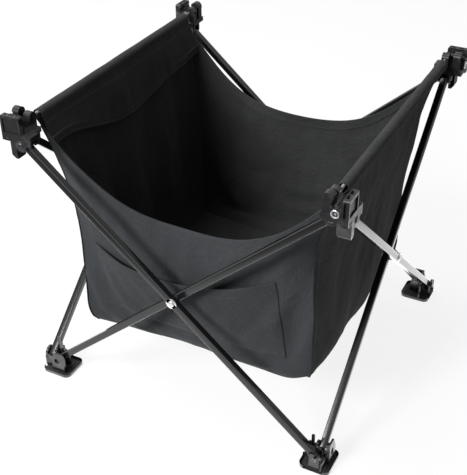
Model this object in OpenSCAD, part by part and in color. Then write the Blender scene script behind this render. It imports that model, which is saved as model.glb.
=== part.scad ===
// Folding camp table base: four pairs of crossed square tubes, four top hubs that snap
// on to the bars of a roll-up top, four feet, and a fabric storage bag hung inside.
// Origin: on the floor under the middle of the frame, +Z up, front at -Y, open position.

/* [Frame] */
// Distance between the two lower pins of one side
span = 296; // [240:1:340]
// Height between the lower and the upper pins
rise = 260; // [220:1:300]
// Height of the lower pins above the floor
pin_height = 17; // [15:0.5:22]
// Distance of a side's pivot plane outside its pins' spacing
corner_step = 7.2; // [7:0.1:9]

/* [Tubes] */
// Outside width of the square tube
tube_w = 7; // [6:0.1:7.4]
// Wall thickness of the square tube
tube_wall = 0.9; // [0.6:0.1:1.2]
// Distance between the two tubes of a crossing
tube_gap = 2.4; // [2:0.1:3]
// Length of tube past its end pin
tube_overhang = 2.6; // [2.2:0.1:2.8]
// Depth of an end plug inside the tube
plug_depth = 12; // [8:1:20]
// Length of the domed end of a plug past the tube
plug_dome = 1.6; // [1:0.1:1.7]

/* [Pins and rivets] */
// Diameter of a pivot pin
pin_d = 3; // [2.4:0.1:3.6]
// Diameter of a pivot pin's head
pin_head_d = 5.6; // [4.5:0.1:6.5]
// Height of a pivot pin's head
pin_head_h = 0.9; // [0.6:0.1:1.2]
// Running clearance on the radius of a pin
pin_clearance = 0.06; // [0.03:0.01:0.09]
// Diameter of the rivet head at a crossing
rivet_head_d = 6.2; // [5:0.1:7]
// Height of the rivet head at a crossing
rivet_head_h = 1.3; // [0.8:0.1:2]
// Diameter of the spacer at a crossing
spacer_d = 8.4; // [7:0.1:10]

/* [Hubs] */
// Thickness of a clevis ear
ear_t = 2.5; // [2:0.1:3]
// Radius of a clevis ear
ear_r = 6.5; // [5.8:0.1:7.5]
// Clearance on each side of a tube in its clevis
slot_clearance = 0.3; // [0.2:0.05:0.5]
// Thickness of the deck over the clevises
deck_t = 5; // [4:0.5:7]
// Diameter of the table bar that the jaws hold
bar_d = 9; // [7:0.5:9.5]
// Height of the middle of the table bar above the upper pins
bar_height = 22; // [21:0.5:23]
// Thickness of the outer plate
plate_t = 5.8; // [4:0.1:6.2]
// Height of the outer plate's top above the upper pins
plate_top = 27; // [25:0.5:30]
// Length of the outer plate
plate_len = 21; // [19:0.5:24]
// Width of a jaw finger along the bar
finger_w = 7; // [5:0.5:8]
// Thickness of a jaw finger
finger_t = 9; // [7:0.5:10]
// Length of the stop below the outer clevis
tail_len = 15; // [10:0.5:18]
// Length of the cheek beside the outer tube
cheek_len = 12; // [8:0.5:18]
// Outside diameter of the hollow rivet on the hub's end face
eyelet_d = 7.4; // [6:0.1:7.6]

/* [Feet] */
// Length of the foot's base
foot_len = 33; // [30:0.5:38]
// Width of the foot's base
foot_w = 31; // [30:0.5:36]
// Thickness of the foot's base
foot_base = 3.4; // [3:0.1:5]
// Height of the stepped gusset above the lower pins
gusset_top = 20; // [14:0.5:24]
// Number of steps on the gusset
gusset_steps = 4; // [2:1:6]
// Thickness of the sole pad
pad_t = 2.2; // [1.6:0.1:3]
// Depth that the sole pad is let into the foot
pad_recess = 1.2; // [0.8:0.1:1.4]

/* [Bag] */
// Thickness of the bag's fabric
cloth_t = 1.2; // [0.8:0.1:1.6]
// Gap between the side tubes and the bag's sides below the flare
side_gap = 23; // [20:1:35]
// Gap between the end tubes and the bag's front and back walls
end_gap = 22; // [20:1:35]
// Height of the bag's floor above the ground
bag_floor = 58; // [45:1:75]
// Height at which the sides begin to flare out
flare_from = 150; // [120:1:180]
// Amount by which the bag's half depth grows towards its sleeves
depth_flare = 12; // [0:0.5:13]
// Height at which the depth begins to grow
deepen_from = 190; // [170:1:220]
// Radius of the bag's rounded lower edge
hem_r = 27; // [18:1:34]
// Amount by which the lower edge draws in
hem_in = 8; // [4:0.5:12]
// Height of the front and back edges at their middle
edge_low = 211; // [195:1:230]
// Diameter of the elastic cord in each side sleeve
cord_d = 3; // [2:0.1:3.6]
// Outside diameter of a side sleeve
sleeve_d = 11; // [9:0.5:12]
// Depth of the inner facing below the sleeve
facing_depth = 42; // [20:1:55]
// Amount by which the facing's lower edge stands off the wall
facing_stand = 5; // [2:0.5:7]
// Depth of the soft folds in the walls
fold_depth = 1.6; // [0:0.1:2.5]
// Amount by which the side walls bulge out
side_belly = 3; // [0:0.5:5]
// Amount by which the front and back walls bulge out
end_belly = 4; // [0:0.5:5]
// Amount by which the middle of the lower front and back edges draws in
end_tuck = 8; // [0:0.5:10]
// Height over which the lower front and back edges draw in
tuck_height = 55; // [30:1:80]
// Amount by which the front right lower corner rides up
corner_lift = 9; // [0:0.5:11]
// Amount by which the front right corner is drawn in under its sleeve
corner_pull = 6; // [0:0.5:8]

/* [Pocket] */
// Distance of the pocket's left side from the middle
pocket_left = 106; // [90:1:110]
// Distance of the pocket's right side from the middle, at its upper edge
pocket_right = 89; // [60:1:92]
// Amount by which the pocket's right side runs outwards towards its lower edge
pocket_slant = 9; // [0:1:12]
// Height of the pocket's lower edge above the ground
pocket_low = 88; // [84:1:100]
// Height of the pocket's upper edge above the ground
pocket_high = 170; // [150:1:185]
// Amount by which the pocket's upper edge dips in the middle
pocket_dip = 18; // [0:1:25]
// Gap of the slack pocket mouth in the middle
pocket_slack = 9; // [7:0.5:11]

/* [Hidden] */
half = span / 2;
plane = half + corner_step;
pitch = (tube_w + tube_gap) / 2;
tube_len = sqrt(span * span + rise * rise);
lean = atan(rise / span);
low_z = pin_height;
high_z = pin_height + rise;
mid_z = pin_height + rise / 2;
bore_w = tube_w - 2 * tube_wall;
pin_r = pin_d / 2;
hole_r = pin_r + pin_clearance;
slot_half = tube_w / 2 + slot_clearance;
end_reach = tube_overhang + plug_dome;
slot_end = end_reach + 0.8;
eps = 0.01;

// In a corner's own frame u is x - half, v is y + half and w is height over the pins.
// At the top the front tube lies inside its plane and the side tube outside it.
front_in = -corner_step + pitch;
side_out = corner_step + pitch;
// At the foot the front tube lies outside its plane and the side tube inside it.
front_out = -corner_step - pitch;
side_in = corner_step - pitch;
deck_low = slot_end + 0.4;
deck_high = deck_low + deck_t;
plate_u = side_out + slot_half + ear_t - plate_t;
plate_v = -plate_len + 1.5;
bar_u = plate_u - bar_d / 2;
finger_u = bar_u - bar_d / 2;
cord_w = 20;
cord_out = 1;
saddle_v = 2.5;
rivet_u = 7;
rivet_w = deck_high + eyelet_d / 2 - 0.7;
cord_z = high_z + cord_w;
cord_x = half + cord_out;
bag_half_w = plane - pitch - tube_w / 2 - side_gap;
bag_half_d = plane - pitch - tube_w / 2 - end_gap;
black = "#1c1c1e";
alu = "#232326";
steel = "#c9cbcd";
fabric = "#2b2d31";
fabric_lit = "#3a3e45";

// Places a child, drawn for the front right corner, at corner k of 4, going clockwise.
module at_corner(k) {
    rotate([0, 0, -90 * k]) children();
}

// Moves a child from a corner's own frame to the front right corner at height z.
module corner_frame(z) {
    translate([half, -half, z]) children();
}

// A block between two opposite corners given as [low, high] on each axis.
module block(u, v, w) {
    translate([u[0], v[0], w[0]]) cube([u[1] - u[0], v[1] - v[0], w[1] - w[0]]);
}

// A clevis ear: a round end about the pin and a straight part up to the given height.
module ear_along_y(v, up) {
    translate([0, v[1], 0]) rotate([90, 0, 0]) cylinder(r = ear_r, h = v[1] - v[0], $fn = 48);
    if (up > 0) block([-ear_r, ear_r], v, [0, up]);
    if (up < 0) block([-ear_r, ear_r], v, [up, 0]);
}

module ear_along_x(u, up) {
    translate([u[0], 0, 0]) rotate([0, 90, 0]) cylinder(r = ear_r, h = u[1] - u[0], $fn = 48);
    if (up > 0) block(u, [-ear_r, ear_r], [0, up]);
    if (up < 0) block(u, [-ear_r, ear_r], [up, 0]);
}

// Holes for the two pins of a corner: one along Y through v, one along X through u.
module hole_along_y(v, r) {
    translate([0, v[1] + 1, 0]) rotate([90, 0, 0]) cylinder(r = r, h = v[1] - v[0] + 2, $fn = 48);
}

module hole_along_x(u, r) {
    translate([u[0] - 1, 0, 0]) rotate([0, 90, 0]) cylinder(r = r, h = u[1] - u[0] + 2, $fn = 48);
}

// Room outside both ears of a clevis for the heads of its pin.
head_room_r = pin_head_d / 2 + 0.3;
head_room_h = pin_head_h + 0.2;

module head_room_along_y(ears) {
    for (v = [ears[0] - head_room_h, ears[1]])
        translate([0, v, 0]) rotate([-90, 0, 0]) cylinder(r = head_room_r, h = head_room_h, $fn = 48);
}

module head_room_along_x(ears) {
    for (u = [ears[0] - head_room_h, ears[1]])
        translate([u, 0, 0]) rotate([0, 90, 0]) cylinder(r = head_room_r, h = head_room_h, $fn = 48);
}

// The two ears of a clevis that spans a length.
function ear_pair(ears) = [[ears[0], ears[0] + ear_t], [ears[1] - ear_t, ears[1]]];

hub_front_ears = [front_in - slot_half - ear_t, front_in + slot_half + ear_t];
hub_side_ears = [side_out - slot_half - ear_t, side_out + slot_half + ear_t];

// The two finger places along the bar, the first over the side tube, the second outside.
finger_places = [
    [-cord_out - finger_w / 2, -cord_out + finger_w / 2],
    [plate_v + 3, plate_v + 3 + finger_w]
];
// How far each finger's top stays below the highest one.
finger_drops = [2.5, 0];
knob_r = finger_t / 2 + 0.9;
knob_w = plate_top + 1.5 - knob_r;

// Jaw finger with a rounded knob that overhangs the bar's seat.
module jaw_finger(v, drop) {
    block([finger_u - finger_t, finger_u], v, [deck_high - eps, knob_w - drop]);
    translate([finger_u - finger_t / 2 + 0.4, v[1], knob_w - drop])
        rotate([90, 0, 0]) cylinder(r = knob_r, h = v[1] - v[0], $fn = 40);
}

// Upright slab through u, with its upper corners rounded to radius r.
module upright_slab(u, v, w, r) {
    translate([u[0], 0, 0]) rotate([90, 0, 90]) linear_extrude(u[1] - u[0]) {
        translate([v[0], w[0]]) square([v[1] - v[0], w[1] - w[0] - r]);
        translate([v[0] + r, w[0]]) square([v[1] - v[0] - 2 * r, w[1] - w[0]]);
        for (y = [v[0] + r, v[1] - r]) translate([y, w[1] - r]) circle(r = r, $fn = 48);
    }
}

// Outer plate: a hollow double wall with a snap lip, a recess outside, two slots in its
// top edge and an arched opening in its outer end.
module outer_plate() {
    u = [plate_u, plate_u + plate_t];
    v = [plate_v, plate_v + plate_len];
    rim = 2.2;
    recess = 1.2;
    lip_r = 1.3;
    lip_w = plate_top - rim - lip_r;
    corner_r = 1.8;
    skin_t = 1.1;
    slot_len = 0.3 * plate_len;
    hollow = [u[0] + skin_t, u[1] - recess - skin_t];
    arch_r = (hollow[1] - hollow[0]) / 2;
    difference() {
        union() {
            upright_slab(u, v, [deck_low - 3, plate_top], corner_r);
            translate([plate_u, v[0], lip_w])
                rotate([-90, 0, 0]) cylinder(r = lip_r, h = plate_len, $fn = 32);
        }
        upright_slab([u[1] - recess, u[1] + 1], [v[0] + rim, v[1] - rim],
            [deck_low - 1.5, plate_top - rim - 0.8], 0.6);
        for (start = [0.16, 0.54] * plate_len)
            block([hollow[0] - 0.3, hollow[1] + 0.3], [v[0] + start, v[0] + start + slot_len],
                [plate_top - 2 * rim, plate_top + 1]);
        block(hollow, [v[0] - 1, v[0] + 2], [deck_high, plate_top - rim - arch_r]);
        translate([hollow[0] + arch_r, v[0] - 1, plate_top - rim - arch_r])
            rotate([-90, 0, 0]) cylinder(r = arch_r, h = 3, $fn = 32);
    }
}

// Stop behind the side tube's end, chamfered below.
module tail() {
    depth = 6;
    hull() {
        block(hub_side_ears, [-slot_end - depth, -slot_end], [-tail_len + 4, deck_low + eps]);
        block([hub_side_ears[0] + 1, hub_side_ears[1] - 1], [-slot_end - depth / 2, -slot_end],
            [-tail_len, -tail_len + 1]);
    }
}

module hub_body() {
    ears_top = deck_high - 1;
    block([finger_u - finger_t, hub_side_ears[1]], [plate_v, ear_r], [deck_low, deck_high]);
    block([-ear_r, ear_r], hub_front_ears, [deck_low, ears_top]);
    for (v = ear_pair(hub_front_ears)) ear_along_y(v, ears_top);
    for (u = ear_pair(hub_side_ears)) {
        ear_along_x(u, ears_top);
        // cheek beside the side tube
        block(u, [0, cheek_len], [0, ears_top]);
    }
    block(hub_side_ears, [0, cheek_len], [deck_low, ears_top]);
    tail();
    outer_plate();
    for (i = [0, 1]) jaw_finger(finger_places[i], finger_drops[i]);
    // saddle under the bar, wider at its outer end, where the hollow rivet sits
    block([finger_u - eps, plate_u + eps], [plate_v, saddle_v], [deck_high - eps, bar_height]);
    block([rivet_u - eyelet_d / 2 - 1, plate_u + eps], [plate_v, finger_places[1][0] + eps],
        [deck_high - eps, rivet_w + eyelet_d / 2 + 1]);
}

module hub_shape() {
    cord_r = cord_d / 2 + 0.3;
    difference() {
        hub_body();
        // room for the two tubes, whose upper ends turn under the deck
        block([-ear_r - ear_t, slot_end], [front_in - slot_half, front_in + slot_half],
            [-tail_len, deck_low]);
        block([side_out - slot_half, side_out + slot_half], [-slot_end, cheek_len + ear_t],
            [-tail_len, deck_low]);
        hole_along_y(hub_front_ears, hole_r);
        hole_along_x(hub_side_ears, hole_r);
        head_room_along_y(hub_front_ears);
        head_room_along_x(hub_side_ears);
        // round seat of the table bar, open upwards between fingers and plate
        translate([bar_u, plate_v - 1, bar_height])
            rotate([-90, 0, 0]) cylinder(r = bar_d / 2, h = plate_len + 2 * ear_r, $fn = 64);
        // hole of the side sleeve's cord, both ways, in the finger over the side tube
        translate([cord_out, finger_places[0][0] - 1, cord_w])
            rotate([-90, 0, 0]) cylinder(r = cord_r, h = finger_w + 2, $fn = 32);
        translate([finger_u - finger_t - 3, -cord_out, cord_w])
            rotate([0, 90, 0]) cylinder(r = cord_r, h = finger_t + 3, $fn = 32);
    }
}

module hub(k) {
    color(black) at_corner(k) corner_frame(high_z) hub_shape();
}

// A pin with a low head at both ends; ears is the span that it holds together.
module pin_body(ears) {
    len = ears[1] - ears[0];
    cylinder(r = pin_r, h = len, $fn = 48);
    for (z = [-pin_head_h, len]) translate([0, 0, z])
        rotate_extrude($fn = 48) head_profile(z > 0);
}

// Half outline of a pin's head, with its rounded side outwards.
module head_profile(up) {
    r = pin_head_d / 2;
    edge = 0.35;
    outline = [[0, 0], [r, 0], [r, pin_head_h - edge], [r - edge, pin_head_h], [0, pin_head_h]];
    if (up) polygon(outline);
    else translate([0, pin_head_h]) mirror([0, 1]) polygon(outline);
}

module pin_along_y(ears) {
    translate([0, ears[0], 0]) rotate([-90, 0, 0]) pin_body(ears);
}

module pin_along_x(ears) {
    translate([ears[0], 0, 0]) rotate([0, 90, 0]) pin_body(ears);
}

module hub_pins(k) {
    color(steel) at_corner(k) corner_frame(high_z) {
        pin_along_y(hub_front_ears);
        pin_along_x(hub_side_ears);
    }
}

// Hollow rivet seated on the hub's end face, under the bar's seat.
module eyelet(k) {
    r = eyelet_d / 2;
    color(steel) at_corner(k) corner_frame(high_z)
        translate([rivet_u, plate_v, rivet_w]) rotate([90, 0, 0])
            rotate_extrude($fn = 48)
                polygon([
                    [1.1, 0], [r, 0], [r, 0.5], [r - 0.5, 1.1],
                    [r - 1.3, 1.1], [r - 1.5, 0.6], [1.1, 0.4]
                ]);
}

foot_front_ears = [front_out - slot_half - ear_t, front_out + slot_half + ear_t];
foot_side_ears = [side_in - slot_half - ear_t, side_in + slot_half + ear_t];
foot_edge = 6.5;
foot_u = [foot_side_ears[1] + foot_edge - foot_w, foot_side_ears[1] + foot_edge];
foot_v = [foot_front_ears[0], foot_front_ears[0] + foot_len];

// Rounded rectangle standing on z from w[0] to w[1], with corner radius r.
module rounded_slab(u, v, w, r) {
    translate([0, 0, w[0]]) linear_extrude(w[1] - w[0]) {
        translate([u[0] + r, v[0]]) square([u[1] - u[0] - 2 * r, v[1] - v[0]]);
        translate([u[0], v[0] + r]) square([u[1] - u[0], v[1] - v[0] - 2 * r]);
        for (x = [u[0] + r, u[1] - r], y = [v[0] + r, v[1] - r])
            translate([x, y]) circle(r = r, $fn = 40);
    }
}

// Outline of the stepped gusset, rising in equal steps towards the corner.
function gusset_outline(reach, top) = concat(
    [[0, 0]],
    [for (i = [0:gusset_steps - 1], far = [0, 1])
        [-reach * (i + far) / gusset_steps, top * (1 - i / gusset_steps)]],
    [[-reach, 0]]
);

// Outer cheek of a foot, taller than the ears, beside the side tube.
module outer_cheek(base_low) {
    u = foot_side_ears[1] - eps;
    hull() {
        block([u, u + 3], [-ear_r, ear_r + 2], [base_low, 1]);
        block([u, u + 2], [-ear_r + 3, ear_r], [base_low, ear_r + 3]);
    }
}

module foot_shape() {
    base_low = -pin_height + pad_t - pad_recess;
    slot_w = [base_low + foot_base, gusset_top + 5];
    difference() {
        union() {
            rounded_slab(foot_u, foot_v, [base_low, base_low + foot_base], 6);
            // rounded body around both clevises
            rounded_slab([foot_side_ears[0], foot_side_ears[1]], [foot_front_ears[0], ear_r],
                [base_low, -2], 2);
            rounded_slab([-ear_r, ear_r], foot_front_ears, [base_low, 0], 2);
            for (v = ear_pair(foot_front_ears)) ear_along_y(v, base_low + 1);
            for (u = ear_pair(foot_side_ears)) ear_along_x(u, base_low + 1);
            outer_cheek(base_low);
            // stepped gusset between the two tubes
            translate([foot_side_ears[0] + eps, foot_front_ears[1] - 0.5, base_low])
                rotate([90, 0, 0]) linear_extrude(ear_t)
                    polygon(gusset_outline(foot_side_ears[0] - foot_u[0] - 1, gusset_top - base_low));
        }
        block([foot_u[0] - foot_base, slot_end], [front_out - slot_half, front_out + slot_half], slot_w);
        block([side_in - slot_half, side_in + slot_half], [-slot_end, foot_v[1] + foot_base], slot_w);
        hole_along_y(foot_front_ears, hole_r);
        hole_along_x(foot_side_ears, hole_r);
        head_room_along_y(foot_front_ears);
        head_room_along_x(foot_side_ears);
        // round recess in the cheek over the side pin's head
        translate([foot_side_ears[1], 0, 0])
            rotate([0, 90, 0]) cylinder(r = head_room_r, h = 2 * ear_t, $fn = 48);
        // recess for the sole pad
        rounded_slab([foot_u[0] + 2, foot_u[1] - 2], [foot_v[0] + 2, foot_v[1] - 2],
            [base_low - 1, base_low + pad_recess], 4);
    }
}

module foot(k) {
    color(black) at_corner(k) corner_frame(low_z) foot_shape();
}

module foot_pins(k) {
    color(steel) at_corner(k) corner_frame(low_z) {
        pin_along_y(foot_front_ears);
        pin_along_x(foot_side_ears);
    }
}

// Rubber pad let into the foot from below, with grip grooves.
module sole(k) {
    inset = 2.1;
    mid_v = (foot_v[0] + foot_v[1]) / 2;
    groove = 0.5;
    color("#111112") at_corner(k) corner_frame(low_z)
        difference() {
            rounded_slab([foot_u[0] + inset, foot_u[1] - inset], [foot_v[0] + inset, foot_v[1] - inset],
                [-pin_height, -pin_height + pad_t], 3.9);
            for (v = [-10:5:10])
                block(foot_u, [mid_v + v - groove, mid_v + v + groove],
                    [-pin_height - 1, -pin_height + 0.6]);
        }
}

// Places a child, drawn along X about its middle pin, as a tube of side k of 4.
// Turn is 1 for the outer tube, which runs down to the right seen from outside.
module tube_place(k, turn) {
    at_corner(k) translate([0, -plane - turn * pitch, mid_z]) rotate([0, turn * lean, 0]) children();
}

module tube_holes() {
    for (x = [-tube_len / 2, 0, tube_len / 2])
        translate([x, tube_w, 0]) rotate([90, 0, 0]) cylinder(r = hole_r, h = 2 * tube_w, $fn = 48);
}

module square_bar(width, len) {
    translate([-len / 2, -width / 2, -width / 2]) cube([len, width, width]);
}

module tube(k, turn) {
    len = tube_len + 2 * tube_overhang;
    color(alu) tube_place(k, turn) difference() {
        square_bar(tube_w, len);
        square_bar(bore_w, len + 1);
        tube_holes();
    }
}

// The two plugs of one tube, each with a domed end.
module plugs(k, turn) {
    fit = 0.05;
    inner_w = bore_w - 2 * fit;
    color(black) tube_place(k, turn) for (end = [0, 1]) mirror([end, 0, 0])
        translate([tube_len / 2, 0, 0]) difference() {
            union() {
                translate([tube_overhang - plug_depth, -inner_w / 2, -inner_w / 2])
                    cube([plug_depth + eps, inner_w, inner_w]);
                intersection() {
                    translate([tube_overhang, -tube_w / 2, -tube_w / 2]) cube([plug_dome, tube_w, tube_w]);
                    translate([0, tube_w / 2, 0]) rotate([90, 0, 0])
                        cylinder(r = end_reach, h = tube_w, $fn = 64);
                }
            }
            translate([0, tube_w, 0]) rotate([90, 0, 0]) cylinder(r = hole_r, h = 2 * tube_w, $fn = 48);
        }
}

// Rivet through both tubes of side k, with its domed head outside.
module rivet(k) {
    stem = 2 * tube_w + tube_gap;
    r = rivet_head_d / 2;
    color(steel) at_corner(k) translate([0, -plane + pitch + tube_w / 2, mid_z]) rotate([90, 0, 0]) {
        translate([0, 0, -eps]) cylinder(r = pin_r, h = stem + 2 * eps, $fn = 48);
        translate([0, 0, stem]) rotate_extrude($fn = 48)
            polygon([[0, 0], [r, 0], [r - 0.3, rivet_head_h / 2], [r / 2, rivet_head_h], [0, rivet_head_h]]);
        translate([0, 0, -pin_head_h]) cylinder(r = pin_head_d / 2, h = pin_head_h, $fn = 48);
    }
}

module spacer(k) {
    side = 0.05;
    color(black) at_corner(k) translate([0, -plane + tube_gap / 2 - side, mid_z]) rotate([90, 0, 0])
        difference() {
            cylinder(r = spacer_d / 2, h = tube_gap - 2 * side, $fn = 48);
            translate([0, 0, -1]) cylinder(r = hole_r, h = tube_gap + 2, $fn = 48);
        }
}

// Elastic cord through a side sleeve, from finger to finger; side is -1 left, 1 right.
module edge_cord(side) {
    reach = half + 3;
    color("#8e9094") translate([side * cord_x, -reach, cord_z])
        rotate([-90, 0, 0]) cylinder(r = cord_d / 2, h = 2 * reach, $fn = 24);
}

// Rounded draw-in of the bag's lower edge, from 0 above it to hem_in at the floor.
function draw_in(z) = let (deep = min(1, max(0, (bag_floor + hem_r - z) / hem_r)))
    hem_in * (1 - sqrt(1 - deep * deep * 0.98));

// Half width and half depth of the bag at height z.
function wide(z) = bag_half_w - draw_in(z)
    + (cord_x - bag_half_w) * pow(max(0, (z - flare_from) / (cord_z - flare_from)), 1.7);
function deep(z) = bag_half_d - draw_in(z)
    + depth_flare * pow(min(1, max(0, (z - deepen_from) / (wall_top - deepen_from))), 1.5);

// Share of the way into the front right corner: 0 up to corner_from, 1 at the corner.
corner_from = 0.65;
function into_corner(t) = pow(max(0, (t - corner_from) / (1 - corner_from)), 2);

// How far that corner's lower end rides up at height z.
function ride_up(z, t) = corner_lift * into_corner(t) * max(0, 1 - (z - bag_floor) / tuck_height);

// How far that corner is drawn in under its sleeve at height z.
function drawn_under(z, t) = corner_pull * into_corner(t)
    * sin(180 * min(1, max(0, (z - flare_from) / (wall_top - flare_from))));

// Height of the front and back walls' upper edge at distance x from the middle.
edge_share = 0.985;
function edge_z(x) = edge_low + (cord_z - edge_low - sleeve_d / 2) * pow(min(1, abs(x) / cord_x), 3.2);

// Closed skin between two grids of points, outer and inner, of the same size.
module skin(outer, inner) {
    rows = len(outer);
    cols = len(outer[0]);
    count = rows * cols;
    points = [for (g = [outer, inner], row = g, p = row) p];
    sheet = [for (i = [0:rows - 2], j = [0:cols - 2])
        let (n = i * cols + j) [n, n + 1, n + cols + 1, n + cols]];
    rim = concat(
        [for (j = [0:cols - 2]) [j, j + 1]],
        [for (i = [0:rows - 2]) [i * cols + cols - 1, (i + 1) * cols + cols - 1]],
        [for (j = [cols - 1:-1:1]) [(rows - 1) * cols + j, (rows - 1) * cols + j - 1]],
        [for (i = [rows - 1:-1:1]) [i * cols, (i - 1) * cols]]
    );
    faces = concat(
        [for (q = sheet, t = [[q[0], q[2], q[1]], [q[0], q[3], q[2]]]) t],
        [for (q = sheet, t = [[q[0], q[1], q[2]], [q[0], q[2], q[3]]]) [for (n = t) n + count]],
        [for (e = rim, t = [[e[0], e[1], e[1] + count], [e[0], e[1] + count, e[0] + count]]) t]
    );
    polyhedron(points = points, faces = faces, convexity = 10);
}

// Soft vertical folds: s is the place across the wall from -1 to 1, h the share of height.
function fold(s, h, n, phase) = fold_depth * sin(s * n * 180 + phase) * (1 - s * s) * (0.35 + 0.65 * h);

cloth_gap = 0.5;
sleeve_turns = 14;
wall_rows = 13;
wall_cols = 19;

sleeve_r = sleeve_d / 2;
facing_rows = 4;

// Path of a side wall in the plane across the bag: up the wall, round the cord, down inside.
// Each point is half width, height and the direction that the cloth's outer face looks.
// The sleeve hangs on the cord, so its middle is lower than the cord's.
sleeve_z = cord_z - (sleeve_r - cloth_t - cord_d / 2 - 0.3);
wall_top = sleeve_z - sleeve_r - 4;
facing_top = sleeve_z - sleeve_r + 2;
side_path = concat(
    [for (i = [0:wall_rows - 1])
        let (z = bag_floor + (wall_top - bag_floor) * i / (wall_rows - 1)) [wide(z), z, 1, 0]],
    [for (i = [0:sleeve_turns])
        let (a = -25 + 230 * i / sleeve_turns)
        [cord_x + sleeve_r * cos(a), sleeve_z + sleeve_r * sin(a), cos(a), sin(a)]],
    [for (i = [1:facing_rows])
        let (z = facing_top - facing_depth * i / facing_rows)
        [wide(z) - 3.2 - (facing_rows - i) * 0.9 - facing_stand * pow(i / facing_rows, 1.5), z, -1, 0]]
);

// Side wall with its sleeve and inner facing; side is -1 for the left, 1 for the right.
module side_wall(side) {
    function station(n, shift) = [for (p = side_path)
        let (s = n / (wall_cols - 1) * 2 - 1,
            z = p[1],
            up = (z - bag_floor) / (cord_z - bag_floor),
            in_wall = z < cord_z - sleeve_d ? 1 : 0,
            reach = deep(min(z, cord_z)) - cloth_t - cloth_gap,
            ripple = in_wall * fold(s, 1 - up, 3, side * 40),
            belly = in_wall * side_belly * (1 - s * s) * sin(180 * up),
            t = side > 0 ? -s : 0)
        [side * (p[0] + ripple + belly - shift * p[2]) - drawn_under(z, t), s * reach,
            z - shift * p[3] + ride_up(z, t)]];
    outer = [for (n = [0:wall_cols - 1]) station(n, 0)];
    inner = [for (n = [0:wall_cols - 1]) station(n, cloth_t)];
    color(fabric) if (side > 0) skin(inner, outer);
    else skin(outer, inner);
}

// End wall at the front (-1) or back (1), with its hanging upper edge.
module end_wall(side) {
    rows = 15;
    function column(n, shift) = [for (i = [0:rows - 1])
        let (s = n / (wall_cols - 1) * 2 - 1,
            top = edge_z(s * cord_x * edge_share),
            z = bag_floor + (top - bag_floor) * i / (rows - 1),
            x = s * (wide(z) - cloth_gap / 2),
            low = max(0, 1 - (z - bag_floor) / tuck_height),
            ripple = fold(s, 1 - i / rows, 2.5, side * 55),
            belly = (1 - s * s) * (end_belly * sin(180 * i / (rows - 1)) - end_tuck * low * low),
            t = side < 0 ? s : 0)
        [x - drawn_under(z, t), side * (deep(z) + ripple + belly - shift), z + ride_up(z, t)]];
    outer = [for (n = [0:wall_cols - 1]) column(n, 0)];
    inner = [for (n = [0:wall_cols - 1]) column(n, cloth_t)];
    color(fabric_lit) if (side < 0) skin(inner, outer);
    else skin(outer, inner);
}

// Half of the bag's floor, which creases along the middle; side is -1 left, 1 right.
module floor_half(side) {
    rows = 7;
    cols = 13;
    function row(n, lift) = [for (i = [0:cols - 1])
        let (s = i / (cols - 1) * 2 - 1,
            r = n / (rows - 1),
            x = cloth_gap / 2 + r * (wide(bag_floor) - cloth_t - cloth_gap * 1.5),
            y = s * (deep(bag_floor) - cloth_t - cloth_gap - 9.5 * (1 - r * r) - 1.5))
        [side * x, y, bag_floor + lift + 2.5 * r * r + 2 * s * s
            + (side > 0 ? ride_up(bag_floor, r) * into_corner(-s) : 0)]];
    top = [for (n = [0:rows - 1]) row(n, cloth_t)];
    bottom = [for (n = [0:rows - 1]) row(n, 0)];
    color(fabric) if (side > 0) skin(top, bottom);
    else skin(bottom, top);
}

// Patch pocket on the front wall, slack at its mouth.
module pocket() {
    rows = 8;
    cols = 25;
    middle = (pocket_right - pocket_left) / 2;
    reach = (pocket_left + pocket_right) / 2;
    function top_z(x) = pocket_high + 0.06 * x
        - pocket_dip * max(0, 1 - pow((x - middle) / reach, 2));
    function column(n, shift) = [for (i = [0:rows - 1])
        let (t = n / (cols - 1),
            h = i / (rows - 1),
            x = -pocket_left + t * (2 * reach + pocket_slant * (1 - h)),
            z = pocket_low + (top_z(x) - pocket_low) * h,
            slack = pocket_slack * pow(h, 0.7) * (1 - pow(abs(2 * t - 1), 2.4)))
        [x, -(bag_half_d + wall_bulge(x, z) + cloth_gap + slack + cloth_t - shift), z]];
    outer = [for (n = [0:cols - 1]) column(n, 0)];
    inner = [for (n = [0:cols - 1]) column(n, cloth_t)];
    color(fabric_lit) skin(inner, outer);
}

// How far the front wall stands out from its half depth at x and z.
function wall_bulge(x, z) = let (
    s = x / wide(z),
    top = edge_z(s * cord_x * edge_share),
    share = (z - bag_floor) / (top - bag_floor),
    low = max(0, 1 - (z - bag_floor) / tuck_height))
    fold(s, 1 - share, 2.5, -55) + (1 - s * s) * (end_belly * sin(180 * share) - end_tuck * low * low)
    - draw_in(z);

hub(0);  // hub_front_right
hub(1);  // hub_front_left
hub(2);  // hub_back_left
hub(3);  // hub_back_right
hub_pins(0);  // hub_pins_front_right
hub_pins(1);  // hub_pins_front_left
hub_pins(2);  // hub_pins_back_left
hub_pins(3);  // hub_pins_back_right
eyelet(0);  // hub_rivet_front_right
eyelet(1);  // hub_rivet_front_left
eyelet(2);  // hub_rivet_back_left
eyelet(3);  // hub_rivet_back_right
foot(0);  // foot_front_right
foot(1);  // foot_front_left
foot(2);  // foot_back_left
foot(3);  // foot_back_right
foot_pins(0);  // foot_pins_front_right
foot_pins(1);  // foot_pins_front_left
foot_pins(2);  // foot_pins_back_left
foot_pins(3);  // foot_pins_back_right
sole(0);  // sole_front_right
sole(1);  // sole_front_left
sole(2);  // sole_back_left
sole(3);  // sole_back_right
tube(0, 1);  // outer_tube_front
tube(1, 1);  // outer_tube_left
tube(2, 1);  // outer_tube_back
tube(3, 1);  // outer_tube_right
tube(0, -1);  // inner_tube_front
tube(1, -1);  // inner_tube_left
tube(2, -1);  // inner_tube_back
tube(3, -1);  // inner_tube_right
plugs(0, 1);  // outer_plugs_front
plugs(1, 1);  // outer_plugs_left
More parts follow.
